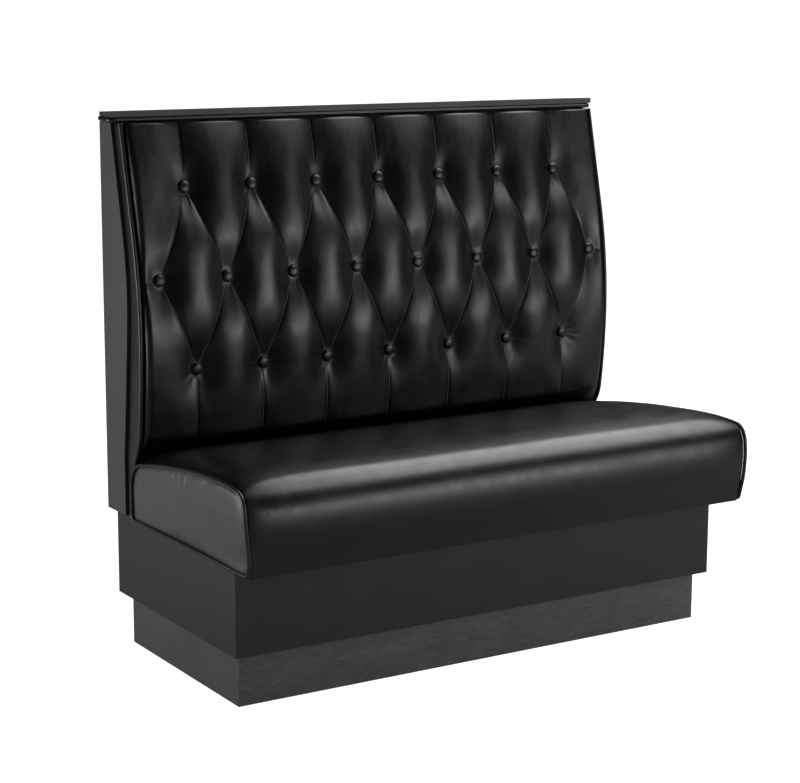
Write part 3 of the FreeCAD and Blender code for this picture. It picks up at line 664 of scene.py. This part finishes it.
def cellSurface(kind, number, place, z):
    half = diamondHalf(z)
    pitch = tufts["pitch"]
    reach = half if kind == "diamond" else pitch / 2 - half
    middle = number * pitch if kind == "diamond" else (number + 0.5) * pitch
    rise = pleatRise(z) + (crestRise(2 * reach, z) - pleatRise(z)) * cellProfile(place)
    return middle + place * reach, rise + creaseDepth((1 - abs(place)) * reach)


def marginSurface(kind, place, z):
    # The flat strip between the last pleats and the end of the back
    sign = -1.0 if kind == "left" else 1.0
    out = 1.0 - place if kind == "left" else place
    inner = outerCell * tufts["pitch"] + diamondHalf(z)
    width = backShape["halfLength"] - inner
    depth, run, loss = tufts["levelPleat"]
    hump, roundness = tufts["sideHump"]
    wide = width / (backShape["halfLength"] - outerCell * tufts["pitch"])
    share = eased(out * width / tufts["sideRun"])
    rise = pleatRise(z) + (np.interp(z, *tufts["sideLevel"]) - pleatRise(z)) * share
    rise = rise + hump * wide * (4 * out * (1 - out)) ** roundness
    rise = rise - depth * np.exp(-(((z - tufts["rows"][1]) / run) ** 2)) * (1.0 - loss * out)
    return sign * (inner + out * width), rise + creaseDepth(out * width)


def tuftSurface(kind, number, place, z):
    # Where a point of the front lies across, and how far in front of the pad's edge line
    if kind in ("diamond", "between"):
        return cellSurface(kind, number, place, z)
    return marginSurface(kind, place, z)


def nearestButton(x, z):
    return np.min([np.hypot(x - spotX, z - spotZ) for spotX, spotZ in buttonSpots()], axis=0)


def awayFromButtons(x, z):
    # 0 at the buttons, rising smoothly to 1 away from them all
    start, run, power = tufts["funnel"]
    above, below = tufts["funnelHeight"]
    free = np.ones_like(x)
    for spotX, spotZ in buttonSpots():
        drop = (z - spotZ) * np.where(z > spotZ, above, below)
        reach = np.clip(np.hypot(x - spotX, drop) - start, 0.0, None) / run
        free *= 1.0 - np.exp(-(reach ** power))
    return free


def wrinkles(x, z):
    # Folds that run out from the buttons, stronger below them and in the last row
    rng = np.random.default_rng(folds["seed"])
    height = np.zeros_like(x)
    ring, ringWidth = folds["ring"]
    lowerShare, lowerRun = folds["lowerShare"]
    for spotX, spotZ in buttonSpots():
        phases = rng.uniform(0, 2 * math.pi, 3)
        strengths = rng.uniform(*folds["strengths"], 3)
        dx, dz = x - spotX, z - spotZ
        turn = np.arctan2(dx, dz)
        fold = np.zeros_like(x)
        for (count, weight), phase, strength in zip(folds["waves"], phases, strengths):
            fold += weight * strength * np.sin(count * turn + phase)
        lower = 1.0 - lowerShare * np.clip(dz / lowerRun, -1.0, 1.0)
        lower = lower * (folds["lastRow"] if spotZ < tufts["rows"][1] else folds["otherRows"])
        height += lower * fold * np.exp(-(((np.hypot(dx, dz) - ring) / ringWidth) ** 2))
    return folds["depth"] * height


def shapedFront(x, z, rise):
    # The buttons' funnels, the folds, the rounded edges and the tuck behind the seat
    rise = tufts["pit"] + (rise - tufts["pit"]) * awayFromButtons(x, z)
    rise = rise + wrinkles(x, z)
    for depth, scale, seed in tufts["unevenness"]:
        rise = rise + depth * softNoise(x, z, scale, seed)
    inset = np.clip((backShape["halfLength"] - np.abs(x)) / tufts["edgeRound"], 0.0, 1.0)
    drop = tufts["edgeDrop"]
    rise = (rise + drop) * np.sqrt(1 - (1 - inset) ** 2) - drop * (1 - inset)
    lid = np.clip((backShape["top"] - z) / tufts["topRound"], 0.0, 1.0)
    rise = rise * (1 - tufts["topDrop"] + tufts["topDrop"] * np.sqrt(1 - (1 - lid) ** 2))
    return rise * eased((z - backShape["tuck"]) / tufts["fade"])


def frontAt(x, z, rise):
    return padEdgeAt(z) - shapedFront(x, z, rise)


def makeTuftedBack():
    # The loop round the pad at one height: rear left corner, front, rear right corner
    columns = len(plan) + 1
    limit = backShape["halfLength"] - tufts["inset"]

    def place(across, upwards):
        column = np.rint(across * columns).astype(int)
        row = np.rint(upwards * (len(levels) - 1)).astype(int)
        z = levels[row]
        x = np.where(column == 0, -limit, limit)
        y = boardEdgeAt(z) - tufts["backGap"]
        rise = np.zeros_like(z)
        for number, (kind, cell, share) in enumerate(plan):
            mine = column == number + 1
            x[mine], rise[mine] = tuftSurface(kind, cell, share, z[mine])
        front = (column > 0) & (column < columns)
        x = np.clip(x, -limit, limit)
        y[front] = frontAt(x, z, rise)[front]
        return x, y, z

    piece = gridPiece("tuftedBack", columns, len(levels) - 1, place)
    tidyMesh(piece, weld=0.00008, angle=75.0, fill=True)
    return settle(piece, "base", "black_vinyl", "tufted_cover", "back_foam")


tuftedBack = makeTuftedBack()
print("tufted back:", len(tuftedBack.data.polygons), "faces")


stitch = {
    "pitch": 0.0032,
    "length": 0.0022,
    "width": 0.00045,
    "height": 0.0004,
    "wide": 0.6,  # share of the half length at full width
    "ridge": 0.55,
    "lift": 0.0010,
    "skip": 0.014,
    "topEnd": 0.004,
    "lowEnd": 0.44,
    "faces": ((0, 1, 6), (1, 2, 7, 6), (2, 3, 7), (3, 4, 7), (4, 5, 6, 7), (5, 0, 6), (5, 4, 3, 2, 1, 0)),
}


def pleatRoutes():
    # Each sewn pleat as its two ends, (x, z)
    first, second, third = tufts["rows"]
    half = tufts["pitch"] / 2
    routes = []
    for number in range(-outerCell, outerCell + 1):
        x = number * tufts["pitch"]
        routes.append(((x, backShape["top"] - stitch["topEnd"]), (x, first)))
        routes.append(((x, third), (x, stitch["lowEnd"])))
        for side in (-half, half):
            routes.append(((x, first), (x + side, second)))
            routes.append(((x + side, second), (x, third)))
    return routes


def stitchSpots(start, end):
    # The place and turn of each stitch along a pleat, none of them under a button
    reach = math.hypot(end[0] - start[0], end[1] - start[1])
    count = int(reach / stitch["pitch"])
    share = (np.arange(count) + 0.5) / count
    x, z = [low + (high - low) * share for low, high in zip(start, end)]
    clear = nearestButton(x, z) > stitch["skip"]
    x, z = x[clear], z[clear]
    points = np.column_stack([x, frontAt(x, z, pleatRise(z) + creaseDepth(0.0)), z])
    spots = []
    for number, point in enumerate(points):
        near = points[min(number + 1, len(points) - 1)]
        along = Vector(near - points[max(number - 1, 0)]).normalized()
        outward = Vector((0, -1, 0))
        outward = (outward - along * outward.dot(along)).normalized()
        turn = Matrix((along, outward.cross(along), outward)).transposed().to_4x4()
        spots.append(Matrix.Translation(Vector(point) + outward * stitch["lift"]) @ turn)
    return spots


def makeStitches():
    length, width = stitch["length"] / 2, stitch["width"]
    wide, ridge = length * stitch["wide"], length * stitch["ridge"]
    corners = [(-length, 0, 0), (-wide, width, 0), (wide, width, 0)]
    corners += [(length, 0, 0), (wide, -width, 0), (-wide, -width, 0)]
    corners += [(-ridge, 0, stitch["height"]), (ridge, 0, stitch["height"])]
    made = bmesh.new()
    for route in pleatRoutes():
        for spot in stitchSpots(*route):
            points = [made.verts.new(spot @ Vector(corner)) for corner in corners]
            for face in stitch["faces"]:
                made.faces.new([points[number] for number in face])
    piece = meshPiece("pleatStitches", made)
    tidyMesh(piece, weld=0.000001, angle=70.0)
    return settle(piece, "base", "thread")


makeStitches()
print("stitches made")


coveredButton = {
    "height": 0.0080,
    "rim": 0.0018,
    "edge": ((0.0, 0.0), (0.86, 0.0), (0.97, 0.5), (1.0, 1.3), (0.985, 2.0)),  # shares of radius and rim
    "dome": (0.965, 0.9, 8),  # share of the radius, roundness, steps
    "lift": 0.0002,
    "sides": 32,
    "turn": 1.7,
    "weld": 0.00002,
}


def buttonProfile():
    # Out along the underside, round the rim and in over the dome, as (radius, height)
    rim = coveredButton["rim"]
    profile = [(buttonRadius * out, rim * up) for out, up in coveredButton["edge"]]
    low = profile[-1][1]
    share, roundness, steps = coveredButton["dome"]
    for step in range(1, steps + 1):
        angle = step / steps * math.pi / 2
        out = buttonRadius * share * math.cos(angle) ** roundness
        profile.append((out, low + (coveredButton["height"] - low) * math.sin(angle)))
    return profile


def makeButtons():
    # One button is spun, then copied to every place
    made = bmesh.new()
    seam = [made.verts.new((out, 0.0, up)) for out, up in buttonProfile()]
    for pair in zip(seam, seam[1:]):
        made.edges.new(pair)
    spin = {"cent": (0, 0, 0), "axis": (0, 0, 1), "angle": 2 * math.pi, "steps": coveredButton["sides"]}
    bmesh.ops.spin(made, geom=made.verts[:] + made.edges[:], use_merge=True, **spin)
    bmesh.ops.remove_doubles(made, verts=made.verts, dist=coveredButton["weld"])
    bmesh.ops.recalc_face_normals(made, faces=made.faces)
    one = bpy.data.meshes.new("oneButton")
    made.to_mesh(one)
    made.free()
    joined = bmesh.new()
    for number, (x, z) in enumerate(buttonSpots()):
        rise = float(padEdgeAt(z + buttonRadius) - padEdgeAt(z - buttonRadius))
        lean = math.atan2(rise, 2 * buttonRadius)
        y = float(padEdgeAt(z)) - tufts["pit"] - coveredButton["lift"]
        start = len(joined.verts)
        joined.from_mesh(one)
        joined.verts.ensure_lookup_table()
        spot = Matrix.Translation((x, y, z)) @ Matrix.Rotation(math.pi / 2 - lean, 4, "X")
        spot = spot @ Matrix.Rotation(number * coveredButton["turn"], 4, "Z")
        bmesh.ops.transform(joined, matrix=spot, verts=joined.verts[start:])
    bpy.data.meshes.remove(one)
    piece = meshPiece("tuftButtons", joined)
    tidyMesh(piece, weld=0.00001, angle=60.0)
    return settle(piece, "base", "black_vinyl", "tuft_buttons")


makeButtons()
print("buttons made")


# Points of the seat's outline are rows of (place as a share of depth and height), (how far the
# crown moves it), (how far the rounding of the ends moves it)
seatShape = {
    "front": -0.3225,
    "depth": 0.5164,
    "bottom": 0.277,
    "endHeight": 0.162,
    "crown": 0.020,
    "crownRun": 0.125,
    "crownShares": (
        (0.0, 0.02, 0.05, 0.10, 0.17, 0.27, 0.40, 0.55, 0.75, 1.0),
        (0.0, 0.065, 0.165, 0.32, 0.48, 0.64, 0.785, 0.89, 0.965, 1.0),
    ),
    "half": 0.575,
    "gap": 0.0002,
    "nose": ((0.2736, 1.0022), (0.0, 1.0), (0.0, -1.0)),
    "frontPoints": (
        ((0.0800, 0.9819), (0.885, 0.875), (0.09, -1.0)),
        ((0.0430, 0.9099), (-0.02, 0.49), (0.55, -0.83)),
        ((0.0258, 0.7577), (-0.51, -0.02), (0.98, -0.2)),
        ((0.0200, 0.3398), (-0.19, -0.25), (1.0, 0.0)),
    ),
    "backPoint": ((0.9121, 0.7518), (0.0, 1.1), (0.0, -1.0)),
    "frontArc": 20,
    "backArc": 36,
    "footCount": 10,
    "foot": 0.0356,
    "slope": 0.0344,
    "rearCrown": 0.17,
    "endRound": 0.0045,
    "endInset": 0.0020,
    "stations": (6, 16, 46),  # round the end, along the crown's run, on to the middle
    "flare": ((0.305, 0.33, 0.35, 0.37, 0.385), (0.0, 0.0032, 0.0052, 0.0069, 0.0079)),  # heights, how far
    "flareEnd": 0.10,  # the ends stand straight from here to the rear
    "flareRun": 0.38,
}
swell = {
    "depth": 0.0011,
    "scale": 9.0,
    "seed": 5.2,
    "across": 0.8,
    "backwards": 2.0,
    "fade": 0.05,
    "push": (0.4, 0.6),
}


def seatPoint(row, crown, inset):
    rise = crown * seatShape["crown"]
    start = (seatShape["front"], seatShape["bottom"])
    size = (seatShape["depth"], seatShape["endHeight"])
    axes = zip(start, size, *row)
    return tuple(low + share * reach + rise * up + inset * back for low, reach, share, up, back in axes)


def seatFront(crown, inset, footZ):
    line = SideLine(seatPoint(seatShape["nose"], crown, inset), (-1, seatShape["slope"]))
    for row in seatShape["frontPoints"]:
        line.arcTo(seatPoint(row, crown, inset), seatShape["frontArc"])
    footY = seatShape["front"] + seatShape["foot"] * seatShape["depth"] + inset
    return line.arcTo((footY, footZ), seatShape["frontArc"] // 2)


def seatBack(crown, inset):
    line = SideLine(seatPoint(seatShape["nose"], crown, inset), (1, -seatShape["slope"]))
    line.arcTo(seatPoint(seatShape["backPoint"], crown, inset), seatShape["backArc"])
    lessCrown = (1 - crown) * seatShape["crown"] * seatShape["rearCrown"]
    rear = seatShape["front"] + seatShape["depth"] - lessCrown - inset
    return line.turnDown(rear, seatShape["backArc"] // 2)


def seatSection(crown, inset):
    # From the foot of the front up, over and down to the foot of the rear
    front = seatFront(crown, inset, seatShape["bottom"]).points()[::-1]
    rear = seatBack(crown, inset)
    rear.lineTo((rear.at[0], seatShape["bottom"]), seatShape["footCount"])
    return np.vstack([front, rear.points()[1:]])


def crownAt(distance):
    # Share of the crown at a distance from the seat's end
    share = np.clip(distance / seatShape["crownRun"], 0.0, 1.0)
    return np.interp(share, *seatShape["crownShares"])


def sinkAt(distance):
    # How far the rounding of the end draws the section in
    outwards = 1 - min(1.0, distance / seatShape["endRound"])
    return seatShape["endInset"] * (1 - math.sqrt(max(0.0, 1 - outwards ** 2)))


def flareAt(y, z):
    # How far the seat's ends stand out at the top of the front
    forwards = np.clip((seatShape["flareEnd"] - y) / seatShape["flareRun"], 0.0, 1.0)
    return np.interp(z, *seatShape["flare"]) * forwards


def seatStations(half):
    # Where the sections stand along the seat, closest together at its ends
    steps, runCount, middleCount = seatShape["stations"]
    roundRun = seatShape["endRound"]
    ends = [half - roundRun * (1 - math.cos(step / steps * math.pi / 2)) for step in range(steps + 1)]
    crownEnd = half - seatShape["crownRun"]
    run = np.linspace(ends[-1], crownEnd, runCount)[1:]
    right = np.concatenate([ends, run, np.linspace(crownEnd, 0.0, middleCount)[1:]])
    return np.concatenate([-right, right[-2::-1]])


def makeSeatCushion():
    half = seatShape["half"] - seatShape["gap"]
    stations = seatStations(half)
    distances = half - np.abs(stations)
    sections = np.array([seatSection(float(crownAt(distance)), sinkAt(distance)) for distance in distances])
    count = sections.shape[1]

    def place(across, upwards):
        station = np.rint(across * (len(stations) - 1)).astype(int)
        point = np.rint(upwards * (count - 1)).astype(int)
        x, distance = stations[station], distances[station]
        y, z = sections[station, point, 0], sections[station, point, 1]
        fade = np.clip((z - seatShape["bottom"]) / swell["fade"], 0.0, 1.0)
        fade = fade * np.clip(distance / swell["fade"], 0.0, 1.0)
        slack = softNoise(x * swell["across"], y * swell["backwards"] + z, swell["scale"], swell["seed"])
        lift = swell["depth"] * slack * fade
        nearEnd = np.clip(1.0 - distance / seatShape["crownRun"], 0.0, 1.0)
        x = x + np.sign(x) * flareAt(y, z) * nearEnd
        return x, y - lift * swell["push"][0], z + lift * swell["push"][1]

    piece = gridPiece("seatCushion", len(stations) - 1, count - 1, place)
    tidyMesh(piece, weld=0.00002, angle=60.0, fill=True)
    return settle(piece, "seat", "black_vinyl", "seat_cover", "seat_foam")


seatCushion = makeSeatCushion()
print("seat cushion:", len(seatCushion.data.polygons), "faces")


seatEnd = {
    "welt": 0.004,
    "bend": 0.009,
    "bendCount": 8,
    "step": 0.006,
    "middleDrop": 0.006,
    "rings": 26,
    "ringShape": 1.6,
    "crown": (0.0004, 0.0066, 0.011),  # at the welt, how much more inside, how fast it rises
    "pucker": (0.00035, 0.014),  # depth, how far in from the welt
    "puckers": (9, 16, 23),
    "seed": 11,
    "phaseReach": 6.28,
    "thickness": 0.0018,
}


def seatWeltPath():
    # Round the end of the seat, along the cushion's edge and under it
    low = seatShape["bottom"] + seatEnd["welt"]
    bend, count = seatEnd["bend"], seatEnd["bendCount"]
    front = seatFront(0.0, 0.0, low + bend / 2).turnLevel(low)
    rear = seatBack(0.0, 0.0)
    rear.lineTo((rear.at[0], low + bend), count).turnTo((-1, 0), bend * math.sqrt(2), count)
    line = np.vstack([front.points()[::-1], rear.points()[1:]])
    return evenly(np.vstack([line, line[:1]]), seatEnd["step"])[:-1]


def makeSeatWelts(line):
    outwards = seatShape["half"] + seatEnd["welt"] + flareAt(line[:, 0], line[:, 1])
    welt = tubePiece("seatWeltRight", np.column_stack([outwards, line]), seatEnd["welt"], closed=True)
    settlePair(welt, "seatWeltLeft", "seat", "welt", "seat_welts", "seat_welts")


def makeEndPanels(line):
    # Rings from the welt in to the middle, crowned
    middle = (line.min(axis=0) + line.max(axis=0)) / 2 - (0.0, seatEnd["middleDrop"])
    arms = line - middle
    reach = np.linalg.norm(arms, axis=1)
    rng = np.random.default_rng(seatEnd["seed"])
    phases = rng.uniform(0, seatEnd["phaseReach"], len(seatEnd["puckers"]))
    least, more, crownRun = seatEnd["crown"]
    puckerDepth, puckerRun = seatEnd["pucker"]

    def place(across, upwards):
        column = np.rint(across * len(line)).astype(int) % len(line)
        inner = reach[column] - seatEnd["welt"] - seatShape["gap"]
        distance = inner * (1 - (1 - np.clip(upwards, 0.0, 1.0)) ** seatEnd["ringShape"])
        y, z = [middle[axis] + arms[column, axis] / reach[column] * distance for axis in range(2)]
        rim = inner - distance
        crown = least + more * (1 - np.exp(-rim / crownRun))
        angle = np.arctan2(arms[column, 1], arms[column, 0])
        pucker = sum(np.sin(angle * count + phase) for count, phase in zip(seatEnd["puckers"], phases))
        crown = crown + pucker * puckerDepth * np.exp(-(((rim - puckerRun) / puckerRun) ** 2))
        return seatShape["half"] + crown + flareAt(y, z), y, z

    panel = gridPiece("seatEndPanelRight", len(line), seatEnd["rings"], place)
    tidyMesh(panel, weld=0.00002, angle=60.0)
    thicken(panel, seatEnd["thickness"])
    panelNodes = ("seat_right_end_panel", "seat_left_end_panel")
    # The end panels take the paler copy of the vinyl, which is painted light
    left = settlePair(panel, "seatEndPanelLeft", "seat", "endVinylPaintedLight", *panelNodes)


seatEndLine = seatWeltPath()
makeSeatWelts(seatEndLine)
makeEndPanels(seatEndLine)
print("seat ends made")


stretchedCloths = (
    {
        "name": "seatDustCover",
        "node": "seat_dust_cover",
        "thick": 0.00035,
        "ripple": 0.00010,
        "on": ["seat_front_rail", "seat_back_rail", "seat_end_rails"],
    },
    {
        "name": "seatInsulator",
        "node": "seat_insulator",
        "thick": 0.0009,
        "ripple": 0.00025,
        "on": ["seat_springs", "seat_front_rail", "seat_back_rail"],
    },
)
clothWaves = {"staplePitch": 0.040, "reach": 0.03, "slack": (6.0, 2.7), "grid": (140, 58)}


def makeStretchedCloth(cloth):
    # A sheet that its staples pull into small waves along the edges
    low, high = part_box(cloth["node"])
    width, depth = high[0] - low[0], high[1] - low[1]

    def place(across, upwards):
        x, y = low[0] + across * width, low[1] + upwards * depth
        edge = np.minimum(np.minimum(across, 1 - across) * width, np.minimum(upwards, 1 - upwards) * depth)
        waves = np.cos((x + y) * 2 * math.pi / clothWaves["staplePitch"])
        waves = waves * np.exp(-edge / clothWaves["reach"])
        slack = softNoise(x, y, *clothWaves["slack"])
        level = (low[2] + high[2]) / 2 + cloth["ripple"] * (waves + slack) / 2
        return x, y, level + cloth["thick"] / 2

    piece = gridPiece(cloth["name"], *clothWaves["grid"], place)
    thicken(piece, cloth["thick"])
    tidyMesh(piece, weld=0.00001, angle=60.0)
    return settle(piece, "seat", "black_cloth", cloth["node"], slot="black_cloth")


for cloth in stretchedCloths:
    makeStretchedCloth(cloth)
print("seat cloths made")


backEnd = {
    "x": 0.563,
    "boxing": 0.0025,
    "bulge": (0.0012, 0.7),  # depth, roundness
    "thickness": 0.0022,
    "gap": 0.0002,
    "grid": (10, 120),
    "welt": 0.004,
    "lead": 0.001,
    "step": 0.006,
}


def makeBackBoxings():
    bulge, roundness = backEnd["bulge"]

    def place(across, upwards):
        z = backShape["bottom"] + upwards * (backShape["top"] - backShape["bottom"])
        front = padEdgeAt(z) + backEnd["gap"]
        rear = boardEdgeAt(z) - backEnd["gap"]
        x = backEnd["x"] + backEnd["boxing"] + bulge * np.sin(across * math.pi) ** roundness
        return x, front + across * (rear - front), z

    strip = gridPiece("backBoxingRight", *backEnd["grid"], place)
    tidyMesh(strip, weld=0.00002, angle=60.0)
    thicken(strip, backEnd["thickness"])
    settlePair(strip, "backBoxingLeft", "base", "black_vinyl", "back_right_boxing", "back_left_boxing")


def makeBackWelts():
    line = evenly(padLine, backEnd["step"])
    x = np.full(len(line), backEnd["x"] + backEnd["boxing"] + backEnd["welt"])
    path = np.column_stack([x, line[:, 0] - backEnd["lead"], line[:, 1]])
    welt = tubePiece("backWeltRight", path, backEnd["welt"])
    settlePair(welt, "backWeltLeft", "base", "welt", "back_welts", "back_welts")


makeBackBoxings()
makeBackWelts()


capWelt = {
    "half": 0.5697,
    "spread": 0.1495,  # gain of half the width per metre towards the front
    "front": 0.24754,
    "back": 0.3217,
    "wall": 0.3225,
    "z": 1.07025,
    "radius": 0.0053,
    "bend": 0.009,
    "bendCount": 9,
}


def capHalf(y):
    return capWelt["half"] + capWelt["spread"] * (capWelt["wall"] - y)


def makeCapWelt():
    # The cord runs out from the rear corners to the front, round a bend and along the front
    front, bend = capWelt["front"], capWelt["bend"]
    lean = math.atan(capWelt["spread"])
    turned = math.pi / 2 - lean  # from the side's direction to the front's
    middleX, middleY = capHalf(front) - bend * math.tan(turned / 2), front + bend
    right = [(capHalf(capWelt["back"]), capWelt["back"])]
    for angle in np.linspace(-lean, math.pi / 2, capWelt["bendCount"]):
        right.append((middleX + bend * math.cos(angle), middleY - bend * math.sin(angle)))
    outline = np.array([(-x, y) for x, y in right] + right[::-1])
    path = np.column_stack([outline, np.full(len(outline), capWelt["z"])])
    piece = tubePiece("capWelt", path, capWelt["radius"], sides=5)
    return settle(piece, "base", "welt", "cap_welt")


makeCapWelt()
print("welts made")


photoView = {
    "azimuth": -32.04,
    "elevation": 10.97,
    "roll": 0.25,
    "lens": 92.73,
    "sensor": 36.0,
    "farthest": 100.0,
    "place": (-2.2463, -3.4808, 1.3179),
}


def makeCamera():
    azimuth, elevation, roll = (math.radians(photoView[key]) for key in ("azimuth", "elevation", "roll"))
    level = math.cos(elevation)
    back = Vector((math.sin(azimuth) * level, -math.cos(azimuth) * level, math.sin(elevation)))
    right = (-back).cross(Vector((0, 0, 1))).normalized()
    above = right.cross(-back)
    rolledRight = right * math.cos(roll) + above * math.sin(roll)
    rolledAbove = above * math.cos(roll) - right * math.sin(roll)
    data = bpy.data.cameras.new("photoCamera")
    data.lens = photoView["lens"]
    data.sensor_width = photoView["sensor"]
    data.clip_end = photoView["farthest"]
    camera = bpy.data.objects.new("photoCamera", data)
    turn = Matrix((rolledRight, rolledAbove, back)).transposed()
    camera.matrix_world = Matrix.Translation(photoView["place"]) @ turn.to_4x4()
    bpy.context.scene.collection.objects.link(camera)
    bpy.context.scene.camera = camera


makeCamera()


studio = {
    "floorSize": 60.0,
    "floorRough": 0.9,
    "floor": 0.93,  # to the camera
    "floorDim": 0.18,  # to the light that it scatters back
    "floorGloss": 0.30,  # in the vinyl's reflections
    "floorGlow": 1.42,
    "glowShare": 0.78,
    "fillDiffuse": 0.22,
    "fillGlossy": 0.020,
    "lamps": (  # (name, place, what it is aimed at, width and height, watts)
        ("overheadSoftbox", (1.95, 0.35, 2.95), (1.9, 0.35, 0.0), (3.5, 2.4), 150.0),
        ("frontStrip", (1.5, -3.35, 0.66), (0.0, -0.1, 0.5), (2.5, 0.36), 28.0),
        ("rightSoftbox", (2.2, -3.0, 1.34), (0.0, 0.0, 0.7), (1.6, 0.9), 14.0),
        ("leftSoftbox", (-2.8, 1.1, 0.65), (-0.5, 0.0, 0.35), (1.6, 1.2), 42.0),
    ),
}


def makeFloor():
    bpy.ops.object.select_all(action="DESELECT")
    bpy.ops.mesh.primitive_plane_add(size=studio["floorSize"], location=(0, 0, 0))
    floor = bpy.context.object
    floor.name = "paleFloor"
    finish = Finish("paleFloor", Roughness=studio["floorRough"], Specular_IOR_Level=0.0)
    seen = finish.node("LightPath", output=0)
    mirrored = finish.node("LightPath", output=3)
    glow = finish.node("Emission", None, {"Color": (1, 1, 1, 1), "Strength": studio["floorGlow"]})
    dim, gloss, pale = [(studio[key],) * 3 for key in ("floorDim", "floorGloss", "floor")]
    finish.paint(finish.tint(seen, finish.tint(mirrored, dim, gloss), pale))
    plain = Wire(finish, finish.shader.outputs[0])
    mixed = finish.node("MixShader", None, {0: seen * studio["glowShare"], 1: plain, 2: glow})
    finish.feed(finish.tree.nodes["Material Output"].inputs["Surface"], mixed)
    floor.data.materials.append(finish.material)


def makeWorld():
    # White to the camera, and dimmer in reflections than as fill light
    world = bpy.data.worlds.new("studio")
    bpy.context.scene.world = world
    sky = Wiring(world)
    mirrored = sky.node("LightPath", output=3)
    fill = mirrored * (studio["fillGlossy"] - studio["fillDiffuse"]) + studio["fillDiffuse"]
    seen = sky.node("LightPath", output=0)
    background = sky.tree.nodes["Background"]
    sky.feed(background.inputs["Color"], (1, 1, 1, 1))
    sky.feed(background.inputs["Strength"], sky.node("Math", {"operation": "MAXIMUM"}, {0: seen, 1: fill}))


def makeLamp(name, spot, aim, size, power):
    data = bpy.data.lights.new(name, "AREA")
    data.shape = "RECTANGLE"
    data.size, data.size_y = size
    data.energy = power
    light = bpy.data.objects.new(name, data)
    light.location = spot
    light.rotation_euler = (Vector(aim) - Vector(spot)).to_track_quat("-Z", "Y").to_euler()
    bpy.context.scene.collection.objects.link(light)


makeFloor()
makeWorld()
for lamp in studio["lamps"]:
    makeLamp(*lamp)
bpy.context.scene.view_settings.view_transform = "Standard"
print("studio made")
